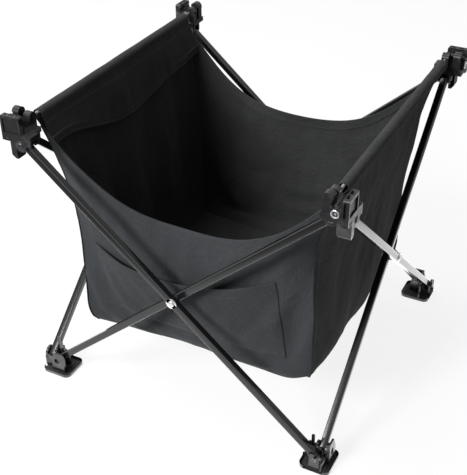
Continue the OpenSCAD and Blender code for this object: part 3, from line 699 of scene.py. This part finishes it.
# Tubes
def model_tube():
    """One square tube along X: long edges rounded, ends hollowed."""
    length = (TUBE_LEN + 2 * TUBE_OVERHANG) * MM
    width = TUBE_W * MM
    bpy.ops.object.select_all(action="DESELECT")
    bpy.ops.mesh.primitive_cube_add(size=1, location=(0, 0, 0))
    tube = bpy.context.object
    tube.scale = (length, width, width)
    bpy.ops.object.transform_apply(location=False, rotation=False, scale=True)
    pick_edges(tube, lambda a, b: abs(a.x - b.x) > length / 2)
    bpy.ops.mesh.bevel(offset=TUBE_ROUND * MM, segments=4, affect="EDGES")
    leave_edit()
    pick_faces(tube, lambda face: abs(face.normal.x) > 0.9)
    bpy.ops.mesh.inset(thickness=TUBE_WALL * MM)
    leave_edit()
    for way in (-1, 1):
        inner = (TUBE_W / 2 - TUBE_WALL * 0.5) * MM
        pick_faces(tube, lambda face: face.normal.x * way > 0.9
                   and max(abs(face.center.y), abs(face.center.z)) < 0.1 * MM
                   and face.area < (2 * inner) ** 2)
        pull_out(x=-way * TUBE_HOLLOW)
        leave_edit()
    smooth_faces(tube, 40)
    unwrap = tube.data.uv_layers.new(name="along")
    for face in tube.data.polygons:
        across = 1 if abs(face.normal.z) > abs(face.normal.y) else 2
        for loop in face.loop_indices:
            point = tube.data.vertices[tube.data.loops[loop].vertex_index].co
            unwrap.data[loop].uv = (point.x, point[across] + across * 0.02)
    return tube


def place_tubes():
    first = model_tube()
    for k, side in enumerate(SIDES):
        for row, turn in (("outer", 1), ("inner", -1)):
            name = row + "_tube_" + side
            place = quarter_turn(k) @ moved(0, -(PLANE + turn * PITCH), MID_Z)
            place = place @ Matrix.Rotation(turn * LEAN, 4, "Y")
            tube = copy_piece(first, row + "_square_tube_" + side, place)
            finish_piece(tube, "coat", name, "black_tube", name)
    remove_piece(first)


# Pins, rivets and spacers
def new_cylinder(name, sides, radius, low, high):
    """A cylinder along Z between two heights, in millimetres."""
    bpy.ops.object.select_all(action="DESELECT")
    bpy.ops.mesh.primitive_cylinder_add(vertices=sides, radius=radius * MM, depth=(high - low) * MM,
                                        location=(0, 0, (high + low) / 2 * MM))
    piece = bpy.context.object
    piece.name = name
    bpy.ops.object.transform_apply(location=True, rotation=False, scale=False)
    return piece


def turn_up(steps, radius, z):
    """Extrudes the picked end face through each (rise, radius) step."""
    for rise, wide in steps:
        pull_out(z=rise)
        z += rise
        share = wide / radius
        bpy.ops.transform.resize(value=(share, share, 1), center_override=(0, 0, z * MM))
        radius = wide


def turned_piece(name, radius, low, high, up=(), down=()):
    """A lathe shape along Z: a plain shank with both ends turned in steps."""
    piece = new_cylinder(name, 40, radius, low, high)
    for steps, way, z in ((up, 1, high), (down, -1, low)):
        pick_faces(piece, lambda face: face.normal.z * way > 0.9)
        turn_up([(way * rise, wide) for rise, wide in steps], radius, z)
        leave_edit()
    smooth_faces(piece, 35)
    return piece


PIN_HEAD = [
    (0.0, 2.7), (0.12, 2.8), (0.4, 2.8), (0.22, 2.6),
    (0.12, 2.2), (0.03, 1.5), (-0.12, 1.2), (-0.05, 0.5),
]


def place_pins():
    """Hinge pins of hubs and feet: a shank with a low rounded head at both ends."""
    pin = turned_piece("pin", PIN_R, 0, EAR_SPAN, PIN_HEAD, PIN_HEAD)
    along_x = Matrix.Rotation(math.pi / 2, 4, "Y")
    reach = EAR_SPAN / 2
    spots = {
        "hub": (HIGH_Z, FRONT_IN - reach, SIDE_OUT - reach),
        "foot": (PIN_HEIGHT, FRONT_OUT - reach, SIDE_IN - reach),
    }
    for place, (z, front, side) in spots.items():
        for k, corner in enumerate(CORNERS):
            base = quarter_turn(k) @ corner_place(z)
            first = copy_piece(pin, "pin_a", base @ moved(y=front) @ TOP_TO_BACK)
            second = copy_piece(pin, "pin_b", base @ moved(x=side) @ along_x)
            pair = join_pieces(place + "_hinge_pins_" + corner, [first, second])
            finish_piece(pair, "steel", place + "_" + corner, "steel",
                         place + "_pins_" + corner)
    remove_piece(pin)


def place_hollow_rivets():
    rivet = turned_piece("rivet", 3.7, 0, 0.5, [(0.3, 3.62), (0.22, 3.35), (0.08, 3.0), (-0.05, 2.6),
                                                (-0.3, 2.35), (-0.45, 2.25)])
    core = turned_piece("core", 2.2, 0.1, 0.36, [(0.0, 1.9), (0.06, 1.6), (0.0, 1.15), (-0.2, 1.1)])
    for k, corner in enumerate(CORNERS):
        place = quarter_turn(k) @ corner_place(HIGH_Z) @ moved(*RIVET_FROM_PINS)
        piece = copy_piece(rivet, "hollow_rivet_" + corner, place @ TOP_TO_FRONT)
        finish_piece(piece, "bright", "hub_" + corner, "bright_steel", "hub_rivet_" + corner)
        piece = copy_piece(core, "rivet_core_" + corner, place @ TOP_TO_FRONT)
        finish_piece(piece, "plug", "hub_" + corner, "black_plastic")
    remove_piece(rivet)
    remove_piece(core)


def place_crossings():
    """Rivet through both tubes of a side, with a domed head outside, and the spacer between them."""
    stem = 2 * TUBE_W + TUBE_GAP
    rivet = turned_piece(
        "rivet", PIN_R, 0, stem,
        [(0.0, 2.95), (0.15, 3.1), (0.3, 3.1), (0.3, 2.9), (0.3, 2.35), (0.18, 1.6), (0.04, 1.1),
         (-0.12, 0.85), (-0.08, 0.3)], PIN_HEAD)
    spacer = turned_piece("spacer", 4.0, SPACER_FROM, SPACER_TO, [(0.15, 3.85)], [(0.15, 3.85)])
    round_edges(spacer, 0.15)
    for k, side in enumerate(SIDES):
        base = quarter_turn(k) @ moved(0, -PLANE, MID_Z)
        place = base @ moved(y=PITCH + TUBE_W / 2) @ TOP_TO_FRONT
        piece = copy_piece(rivet, "crossing_rivet_" + side, place)
        finish_piece(piece, "bright", "outer_tube_" + side, "bright_steel", "rivet_" + side)
        place = base @ moved(y=(SPACER_FROM + SPACER_TO) / 2) @ TOP_TO_FRONT
        piece = copy_piece(spacer, "crossing_spacer_" + side, place)
        finish_piece(piece, "plug", "outer_tube_" + side, "black_plastic", "spacer_" + side)
    remove_piece(rivet)
    remove_piece(spacer)


# Elastic cords
def place_cords():
    reach = HALF + 3
    for way, side, body in ((-1, "left", "hub_front_left"), (1, "right", "hub_back_right")):
        cord = new_cylinder("elastic_cord_" + side, 20, CORD_R, -reach, reach)
        pick_faces(cord, lambda face: abs(face.normal.z) > 0.9)
        bpy.ops.mesh.bevel(offset=0.4 * MM, segments=2, affect="EDGES")
        leave_edit()
        cord.data.transform(moved(way * CORD_X, 0, CORD_Z) @ TOP_TO_BACK)
        smooth_faces(cord, 50)
        lay_flat(cord, lambda point: (math.atan2(point.co.z - CORD_Z * MM, point.co.x - way * CORD_X * MM)
                                      * CORD_R * MM, point.co.y))
        line = [(way * CORD_X * MM, (i / 8 - 1) * reach * MM, CORD_Z * MM) for i in range(17)]
        finish_piece(cord, "cord", body, "cord", "edge_cord_" + side)
        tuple(line[0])
        SOFT_PIECES.append((cord, "side", way))


# Bag shape
def draw_in(z):
    deep = clamped((BAG_FLOOR + HEM_R - z) / HEM_R)
    return HEM_IN * (1 - math.sqrt(1 - deep * deep * 0.98))


def half_width(z):
    rise = max(0, (z - FLARE_FROM) / (CORD_Z - FLARE_FROM))
    return BAG_HALF_W - draw_in(z) + (CORD_X - BAG_HALF_W) * rise ** 1.7


def half_depth(z):
    rise = clamped((z - DEEPEN_FROM) / (WALL_TOP - DEEPEN_FROM))
    return BAG_HALF_D - draw_in(z) + DEPTH_FLARE * rise ** 1.5


def into_corner(t):
    return max(0, (t - CORNER_FROM) / (1 - CORNER_FROM)) ** 2


def ride_up(z, t):
    """How far the front right corner's lower end rides up."""
    return CORNER_LIFT * into_corner(t) * max(0, 1 - (z - BAG_FLOOR) / TUCK_HEIGHT)


def drawn_under(z, t):
    """How far that corner is drawn in under its sleeve."""
    share = clamped((z - FLARE_FROM) / (WALL_TOP - FLARE_FROM))
    return CORNER_PULL * into_corner(t) * math.sin(math.pi * share)


def rolled_back(z, t):
    """How far the front wall turns back into that corner's seam."""
    turn = max(0, (t - ROLL_FROM) / (1 - ROLL_FROM)) ** 2
    return CORNER_ROLL * turn * clamped((250 - z) / 60)


def edge_height(x):
    return EDGE_LOW + (CORD_Z - EDGE_LOW - SLEEVE_R) * min(1, abs(x) / CORD_X) ** 3.2


def soft_fold(s, h, count, phase):
    return FOLD_DEPTH * math.sin(math.radians(s * count * 180 + phase)) * (1 - s * s) * (0.35 + 0.65 * h)


def side_point(way, s, i):
    z = BAG_FLOOR + (WALL_TOP - BAG_FLOOR) * i / (WALL_ROWS - 1)
    up = (z - BAG_FLOOR) / (CORD_Z - BAG_FLOOR)
    x = half_width(z) + soft_fold(s, 1 - up, 3, way * 40) \
        + SIDE_BELLY * (1 - s * s) * math.sin(math.pi * up)
    t = -s if way > 0 else 0
    return (way * x - drawn_under(z, t), s * half_depth(z) + rolled_back(z, t), z + ride_up(z, t))


def end_point(way, s, i):
    top = min(edge_height(s * CORD_X * 0.985), WALL_TOP)
    share = i / (WALL_ROWS - 1)
    z = BAG_FLOOR + (top - BAG_FLOOR) * share
    low = max(0, 1 - (z - BAG_FLOOR) / TUCK_HEIGHT)
    out = soft_fold(s, 1 - share, 2.5, way * 55) \
        + (1 - s * s) * (END_BELLY * math.sin(math.pi * share) - END_TUCK * low * low)
    t = s if way < 0 else 0
    y = way * (half_depth(z) + out) + rolled_back(z, t)
    return (s * half_width(z) - drawn_under(z, t), y, z + ride_up(z, t))


def floor_point(sx, sy):
    front = end_point(-1, sx, 0)[1]
    back = end_point(1, sx, 0)[1]
    share = (sy + 1) / 2
    way = -1 if sx < 0 else 1
    side = side_point(way, sy, 0)
    edge = abs(side[0])
    corner = end_point(-1, way, 0)[1] * (1 - share) + end_point(1, way, 0)[1] * share
    y = front + (back - front) * share + abs(sx) * (side[1] - corner)
    sag = 1.2 * (1 - sx * sx) * (1 - sy * sy)
    lift = ride_up(BAG_FLOOR, sx) * into_corner(-sy)
    return (sx * edge, y, BAG_FLOOR + sag + lift)


def fold_depth(folds, along, z):
    """Depth of all folds of a wall at one place: each is a soft ridge that fades at its ends."""
    depth = 0
    for (x0, z0), (x1, z1), high, wide in folds:
        length = math.hypot(x1 - x0, z1 - z0)
        ahead = ((along - x0) * (x1 - x0) + (z - z0) * (z1 - z0)) / length
        aside = ((along - x0) * (z1 - z0) - (z - z0) * (x1 - x0)) / length
        share = ahead / length
        if 0 < share < 1:
            depth += high * math.sin(math.pi * share) ** 0.7 * math.exp(-(aside / wide) ** 2)
    return depth


def rumple(along, z, seed):
    """Small ridges, longer upwards than across."""
    ridge = 1 - 2.4 * abs(noise.noise(Vector((along * 0.045, z * 0.016, seed))))
    return 1.2 * max(0, ridge) ** 2.2


class BagShell:
    """All walls and the floor of the bag as one welded net of points, in millimetres."""

    def __init__(self):
        self.points = []
        self.held = []
        self.faces = []
        self.known = {}
        self.side = {way: self.net(SIDE_COLS, WALL_ROWS, lambda s, i, way=way: side_point(way, s, i), way > 0)
                     for way in (-1, 1)}
        self.end = {way: self.net(END_COLS, WALL_ROWS, lambda s, i, way=way: end_point(way, s, i), way < 0)
                    for way in (-1, 1)}
        self.floor = self.net(END_COLS, SIDE_COLS,
                              lambda s, i: floor_point(s, i / (SIDE_COLS - 1) * 2 - 1), True)
        self.hold()

    def point(self, place):
        key = tuple(round(c, 2) for c in place)
        if key not in self.known:
            self.known[key] = len(self.points)
            self.points.append(Vector(place))
            self.held.append(0.05)
        return self.known[key]

    def net(self, cols, rows, shape, flip):
        grid = [[self.point(shape(n / (cols - 1) * 2 - 1, i)) for n in range(cols)] for i in range(rows)]
        for i in range(rows - 1):
            for n in range(cols - 1):
                quad = [grid[i][n], grid[i][n + 1], grid[i + 1][n + 1], grid[i + 1][n]]
                self.faces.append(quad if flip else quad[::-1])
        return grid

    def hold(self):
        """How firmly each point keeps its place: the sleeves fully, seams and floor partly."""
        for row in self.floor:
            for n in row:
                self.held[n] = 0.25
        for grid in [*self.side.values(), *self.end.values()]:
            for i, row in enumerate(grid):
                for n in (row[0], row[-1]):
                    self.held[n] = 0.45
                for n in row:
                    if i < 3:
                        self.held[n] = max(self.held[n], 0.25)
        for grid in self.side.values():
            for i, weight in ((-1, 1), (-2, 1), (-3, 0.7), (-4, 0.4)):
                for n in grid[i]:
                    self.held[n] = weight

    def settle(self):
        """Lets the cloth hang under its own weight, and keeps each point near its place."""
        shell = mesh_piece("bag_shell", [p * MM for p in self.points], self.faces)
        held = shell.vertex_groups.new(name="held")
        for n, weight in enumerate(self.held):
            held.add([n], weight, "REPLACE")
        cloth = shell.modifiers.new("cloth", "CLOTH")
        for name, value in CLOTH_SETTINGS.items():
            setattr(cloth.settings, name, value)
        cloth.settings.effector_weights.gravity = 0.7
        cloth.collision_settings.use_collision = False
        cloth.point_cache.frame_start = 1
        cloth.point_cache.frame_end = SETTLING_FRAMES
        for n in range(1, SETTLING_FRAMES + 1):
            bpy.context.scene.frame_set(n)
        seen = shell.evaluated_get(bpy.context.evaluated_depsgraph_get()).data
        for n, point in enumerate(self.points):
            move = seen.vertices[n].co / MM - point
            if move.length > MOST_SETTLING:
                move *= MOST_SETTLING / move.length
            self.points[n] = point + move
        bpy.context.scene.frame_set(1)
        remove_piece(shell)

    def place(self, grid):
        return [[self.points[n] for n in row] for row in grid]


def sheet_mesh(name, grid, flip):
    """A cloth net from rows of points in millimetres, with its flat place as a map in metres."""
    rows, cols = len(grid), len(grid[0])
    points = [p * MM for row in grid for p in row]
    faces = []
    for i in range(rows - 1):
        for n in range(cols - 1):
            a = i * cols + n
            quad = [a, a + 1, a + cols + 1, a + cols]
            faces.append(quad[::-1] if flip else quad)
    piece = mesh_piece(name, points, faces)
    middle, third = cols // 2, grid[rows // 3]
    down, across = [0.0], [0.0]
    for i in range(1, rows):
        down.append(down[-1] + (grid[i][middle] - grid[i - 1][middle]).length)
    for n in range(1, cols):
        across.append(across[-1] + (third[n] - third[n - 1]).length)
    flat_places = [(x * MM, y * MM) for y in down for x in across]
    lay_flat(piece, lambda point: flat_places[point.index])
    return piece


def thicken(piece, inward=CLOTH):
    apply_modifier(piece, "SUBSURF", levels=1, render_levels=1, boundary_smooth="PRESERVE_CORNERS")
    apply_modifier(piece, "SOLIDIFY", thickness=inward * MM, offset=-1, use_even_offset=True)
    smooth_faces(piece, 60)


def wall_at(column, z):
    """Point of a wall's column of points at height z."""
    for low, high in zip(column, column[1:]):
        if low.z <= z <= high.z:
            return low.lerp(high, (z - low.z) / (high.z - low.z))
    return column[-1].copy() if z > column[-1].z else column[0].copy()


def offset_row(row, shift):
    return [p + shift for p in row]


def row_at(grid, height, shift):
    """A line across a wall, at the height found from the top of each column of points."""
    return [wall_at(column, height(column[-1].z)) + shift for column in zip(*grid)]


def row_below_top(grid, depth, shift):
    return row_at(grid, lambda top: top - depth, shift)


def facing_depth(way, y):
    """How far the inner facing reaches down; the left one is cut on a slant."""
    if way > 0:
        return 42
    share = clamped((y + 120) / 110)
    return 24 + 26 * share * share * (3 - 2 * share) - 16 * max(0, (y - 10) / 115)


def wrinkle(wall, folds, out, way, low_rows, seed):
    """Folds and rumples along one axis of a wall, calmed towards its edges."""
    for i, row in enumerate(wall):
        calm = min(1, i / low_rows, (WALL_ROWS - 1 - i) / 5)
        for n, p in enumerate(row):
            soft = calm * min(1, n / 4, (len(row) - 1 - n) / 4)
            along = p[1 - out]
            p[out] += way * soft * (fold_depth(folds, along, p.z) + rumple(along, p.z, seed + way))


def side_panel(shell, way):
    """Side wall, sleeve round the cord and inner facing, cut in one piece."""
    wall = shell.place(shell.side[way])
    wrinkle(wall, RIGHT_FOLDS if way > 0 else LEFT_FOLDS, 0, way, 5, 5.0)
    columns = list(zip(*wall))
    grid = list(wall)
    reach = half_depth(WALL_TOP) - 1.4
    spots = [n / (SIDE_COLS - 1) * 2 - 1 for n in range(SIDE_COLS)]
    for j in range(SLEEVE_ROWS):
        angle = math.radians(-25 + 230 * j / (SLEEVE_ROWS - 1))
        row = []
        for s in spots:
            loose = SLEEVE_R * (1 + 0.05 * noise.noise(Vector((s * 6, j * 0.3, way * 3.1))))
            row.append(Vector((way * (CORD_X + loose * math.cos(angle)), s * reach,
                               SLEEVE_Z + loose * math.sin(angle))))
        grid.append(row)
    for j in range(1, FACING_ROWS + 1):
        share = j / FACING_ROWS
        row = []
        for n, s in enumerate(spots):
            y = s * reach
            z = FACING_TOP - facing_depth(way, y) * share
            at = wall_at(columns[n], z) if z < WALL_TOP else Vector((way * half_width(z), y, z))
            gap = CLOTH + 0.6 + 3.0 * (1 - share) ** 1.6 + FACING_STAND * share ** 1.5
            gap += 1.6 * share * (1 + noise.noise(Vector((s * 4, share * 1.4, 7.7 + way))))
            z += 1.4 * share * noise.noise(Vector((s * 7, 0.4, way)))
            row.append(Vector((at.x - way * gap, y, z)))
        grid.append(row)
    for outward, rise in ((0.9, -0.9), (2.0, -0.5), (2.5, 0.9), (2.5, 4.0), (2.3, 8.0)):
        grid.append(offset_row(grid[FACING_LAST], Vector((way * outward, 0, rise))))
    piece = sheet_mesh("side_panel_" + LEFT_RIGHT[way], grid, way < 0)
    thicken(piece)
    return piece, grid


def end_panel(shell, way):
    grid = shell.place(shell.end[way])
    wrinkle(grid, FRONT_FOLDS if way < 0 else BACK_FOLDS, 1, way, 3, 9.0)
    piece = sheet_mesh("end_panel_" + FRONT_BACK[way], grid, way > 0)
    thicken(piece)
    return piece, grid


def floor_panels(shell):
    grid = shell.place(shell.floor)
    middle = END_COLS // 2
    for way, cols in ((-1, slice(0, middle + 1)), (1, slice(middle, END_COLS))):
        piece = sheet_mesh("floor_panel_" + LEFT_RIGHT[way], [row[cols] for row in grid], True)
        thicken(piece)
        yield piece, way


def edge_strip(name, grid, way, depth, inside):
    """Doubled hem along a wall's upper edge, on its inner face."""
    inward = Vector((0, -way * inside, 0))
    strip = [row_at(grid, lambda top: top - 0.2 - depth * (1 - j / 4), inward) for j in range(5)]
    piece = sheet_mesh(name, strip, way > 0)
    thicken(piece, 0.7)
    return piece


def pocket_point(x, h, wall_surface):
    middle = (POCKET_RIGHT - POCKET_LEFT) / 2
    reach = (POCKET_LEFT + POCKET_RIGHT) / 2
    top = POCKET_HIGH + POCKET_RISE * x - POCKET_DIP * max(0, 1 - ((x - middle) / reach) ** 2)
    z = POCKET_LOW + (top - POCKET_LOW) * h
    share = (x + POCKET_LEFT) / (2 * reach + POCKET_SLANT * (1 - h))
    slack = POCKET_SLACK * h ** 0.7 * max(0, 1 - abs(2 * share - 1) ** 2.4)
    hit = wall_surface.ray_cast(Vector((x * MM, -0.2, z * MM)), Vector((0, 1, 0)))[0]
    return Vector((x, hit.y / MM - slack - 0.15 - CLOTH, z))


def pocket_panel(wall):
    """Patch pocket, sewn down on three sides and slack at its mouth."""
    surface = BVHTree.FromObject(wall, bpy.context.evaluated_depsgraph_get())
    cols, rows = 53, 23
    reach = (POCKET_LEFT + POCKET_RIGHT) / 2
    grid = []
    for i in range(rows):
        h = i / (rows - 1)
        row = []
        for n in range(cols):
            x = -POCKET_LEFT + n / (cols - 1) * (2 * reach + POCKET_SLANT * (1 - h))
            point = pocket_point(x, h, surface)
            inner = 1 - (n / (cols - 1) * 2 - 1) ** 2
            wave = noise.noise(Vector((x * 0.035, h * 1.7, 2.3))) * 1.1 * h * inner
            row.append(point + Vector((0, -abs(wave), 0)))
        grid.append(row)
    piece = sheet_mesh("pocket_panel", grid, False)
    thicken(piece)
    hem = []
    for j in range(4):
        share = 1 - 12 / 70 * (1 - j / 3)
        at = share * (rows - 1)
        low = int(min(rows - 2, math.floor(at)))
        hem.append([grid[low][n].lerp(grid[low + 1][n], at - low) + Vector((0, CLOTH + 0.05, -0.1))
                    for n in range(1, cols - 1)])
    strip = sheet_mesh("pocket_hem", hem, False)
    thicken(strip, 0.7)
    return piece, strip, grid


# Seams and stitches
def model_stitch():
    """One stitch along X: a short thread, sunk at both ends."""
    bpy.ops.object.select_all(action="DESELECT")
    bpy.ops.mesh.primitive_cylinder_add(vertices=6, radius=STITCH_R * MM, depth=STITCH_LEN * MM,
                                        location=(0, 0, 0), rotation=(0, math.pi / 2, 0))
    stitch = bpy.context.object
    bpy.ops.object.transform_apply(location=False, rotation=True, scale=False)
    for way in (-1, 1):
        pick_faces(stitch, lambda face: face.normal.x * way > 0.9)
        pull_out(x=way * STITCH_LEN / 2, z=-STITCH_SINK)
        centre = (way * STITCH_LEN * MM, 0, -STITCH_SINK * MM)
        bpy.ops.transform.resize(value=(1, 0.6, 0.6), center_override=centre)
        leave_edit()
    smooth_all(stitch)
    return stitch


def spaced(path, step):
    """Points along a line of points, each step further, with the line's direction."""
    found = []
    left = step / 2
    for a, b in zip(path, path[1:]):
        length = (b - a).length
        while left <= length:
            found.append((a.lerp(b, left / length), (b - a).normalized()))
            left += step
        left -= length
    return found


def sew(name, stitch, wall, rows):
    """Rows of stitches laid on a wall's surface along the given lines, in millimetres."""
    surface = BVHTree.FromObject(wall, bpy.context.evaluated_depsgraph_get())
    base = [v.co.copy() for v in stitch.data.vertices]
    shapes = [tuple(face.vertices) for face in stitch.data.polygons]
    points, faces = [], []
    for row in rows:
        for spot, along in spaced(row, STITCH_STEP):
            hit, normal, _, gap = surface.find_nearest(spot * MM)
            if hit is None or gap > STITCH_REACH * MM:
                continue
            across = normal.cross(along).normalized()
            ahead = across.cross(normal).normalized()
            turn = Matrix((ahead, across, normal)).transposed()
            start = len(points)
            points.extend(hit + turn @ p + normal * 0.00005 for p in base)
            faces.extend(tuple(n + start for n in shape) for shape in shapes)
    piece = mesh_piece(name, points, faces)
    smooth_all(piece)
    flat_places = [(p.x, p.y + p.z) for p in base]
    lay_flat(piece, lambda point: flat_places[point.index % len(base)])
    return piece


def piping(name, path, radius):
    """Narrow bound seam that follows a line of points."""
    curve = bpy.data.curves.new(name, "CURVE")
    curve.dimensions = "3D"
    spline = curve.splines.new("POLY")
    spline.points.add(len(path) - 1)
    for spot, point in zip(spline.points, path):
        spot.co = (*(point * MM), 1)
    curve.bevel_depth = radius * MM
    curve.bevel_resolution = 2
    curve.use_fill_caps = True
    activate(new_object(name, curve))
    bpy.ops.object.convert(target="MESH")
    piece = bpy.context.object
    lay_flat(piece, lambda point: (point.co.x + point.co.y, point.co.z))
    smooth_all(piece)
    return piece


def build_bag():
    shell = BagShell()
    shell.settle()
    stitch = model_stitch()
    bodies = {
        ("side", -1): "bag_left", ("side", 1): "bag_right",
        ("end", -1): "bag_front", ("end", 1): "bag_back",
        ("floor", -1): "bag_floor_left", ("floor", 1): "bag_floor_right",
    }

    def add(piece, kind, way, material, *nodes):
        finish_piece(piece, material, bodies[kind, way], "bag_fabric", *nodes)
        SOFT_PIECES.append((piece, kind, way))
        return piece

    for way, side in LEFT_RIGHT.items():
        panel, grid = side_panel(shell, way)
        add(panel, "side", way, "fabric", "bag_wall_" + side)
        out = Vector((way * 1.5, 0, 0))
        lines = [offset_row(grid[WALL_ROWS - 1], out)]
        hem = offset_row(grid[FACING_LAST], Vector((-way * 2.2, 0, 0)))
        lines += [offset_row(hem, Vector((0, 0, rise))) for rise in (6.5, 1.8)]
        lines.append(offset_row(grid[FACING_FIRST], Vector((-way * 3.5, 0, 0))))
        columns = list(zip(*grid[:WALL_ROWS]))
        lines += [[wall_at(columns[n], z) + out for z in SEAM_HEIGHTS] for n in (1, -2)]
        seams = add(sew("side_stitches_" + side, stitch, panel, lines), "side", way, "thread")
        for end, s in (("front", 0), ("back", -1)):
            add(piping("corner_seam_" + side + "_" + end, columns[s], 0.85), "side", way, "binding")
    for way, side in FRONT_BACK.items():
        panel, grid = end_panel(shell, way)
        # The front wall takes the copy of the polyester painted lighter for the light on the front
        add(panel, "end", way, "painted_lighter_front_fabric" if way < 0 else "fabric", "bag_wall_" + side)
        out, within = Vector((0, way * 1.2, 0)), Vector((0, -way * 2.4, 0))
        hem = add(edge_strip("upper_hem_" + side, grid, way, 11, CLOTH + 0.08), "end", way, "fabric")
        lines = [row_below_top(grid, 9.4, out), row_below_top(grid, 1.6, out)]
        edge = add(sew("upper_stitches_" + side, stitch, panel, lines), "end", way, "thread")
        inner = add(sew("inner_stitches_" + side, stitch, hem, [row_below_top(grid, 9.4, within)]),
                    "end", way, "thread")
        if way < 0:
            pocket, strip, net = pocket_panel(panel)
            add(pocket, "end", way, "painted_lighter_pocket_fabric", "front_pocket")
            add(strip, "end", way, "fabric")
            near = Vector((0, -1.5, 0))
            side_in = [[row[n] + near for row in net] for n in (1, 2, -3, -2)]
            ends = [[net[-3][n] + near + Vector((0, 0, z)) for z in (-6, 6)] for n in (1, -2)]
            lines = [*side_in, offset_row(net[1], near), *ends, offset_row(net[-4], near)]
            sewn = add(sew("pocket_stitches", stitch, pocket, lines), "end", way, "thread")
    for panel, way in floor_panels(shell):
        side = LEFT_RIGHT[way]
        add(panel, "floor", way, "fabric", "bag_floor_" + side)
    remove_piece(stitch)


def crumple_soft_pieces():
    """Gives each piece of the bag and its cords a mesh of its own."""
    for piece, kind, way in SOFT_PIECES:
        place = way * HALF * MM
        axis, anchor = ((1, 0, 0), (place, 0, 0)) if kind == "end" else ((0, 1, 0), (0, place, 0))
        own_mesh(piece)
        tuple(axis)
        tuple(anchor)


SOFT_PIECES = []
place_camera()
light_studio()
lay_floor()
GROUPS = {
    "weave": make_plain_weave(),
    "creases": make_soft_creases(),
    "grain": make_moulded_grain(),
    "edges": make_rubbed_edges(),
    "dust": make_dust(),
}
MATERIALS = {
    "hub": make_moulding("black nylon of hubs", (0.0085, 0.0088, 0.0095, 1), (0.05, 0.05, 0.052, 1), 0.3,
                         2400.0, 0.5),
    "foot": make_moulding("black nylon of feet", (0.009, 0.0095, 0.0105, 1), (0.055, 0.055, 0.058, 1), 0.27,
                          2600.0, 0.55, 0.45),
    "plug": make_moulding("black end plugs", (0.008, 0.008, 0.0085, 1), (0.03, 0.03, 0.03, 1), 0.42, 3200.0,
                          0.3),
    "coat": make_tube_coat(),
    "steel": make_steel("blackened steel pins", (0.075, 0.076, 0.08, 1), 0.36, 0.5),
    "bright": make_steel("bright turned rivets", (0.5, 0.5, 0.51, 1), 0.32, 0.25),
    "rubber": make_rubber(),
    "cord": make_cord_braid(),
    "fabric": make_fabric("black woven polyester", (0.022, 0.0225, 0.0225, 1), (0.036, 0.037, 0.037, 1),
                          14.0, 0.0022),
    # Painted light: the front wall and the pocket on it take a lighter, slightly bluer copy of the same
    # polyester, standing in for the stronger light on the front; the other walls take the darker copy above
    "painted_lighter_front_fabric": make_fabric("black woven polyester, front", (0.026, 0.028, 0.03, 1),
                                (0.042, 0.046, 0.05, 1), 11.0, 0.0026),
    "painted_lighter_pocket_fabric": make_fabric("black woven polyester, pocket", (0.026, 0.028, 0.03, 1),
                                 (0.042, 0.046, 0.05, 1), 16.0, 0.0024),
    "binding": make_fabric("black seam binding", (0.012, 0.012, 0.0125, 1), (0.022, 0.022, 0.023, 1),
                           40.0, 0.0006),
    "thread": make_thread(),
}
dress_mouldings()
place_tubes()
place_pins()
place_hollow_rivets()
place_crossings()
place_cords()
build_bag()
crumple_soft_pieces()
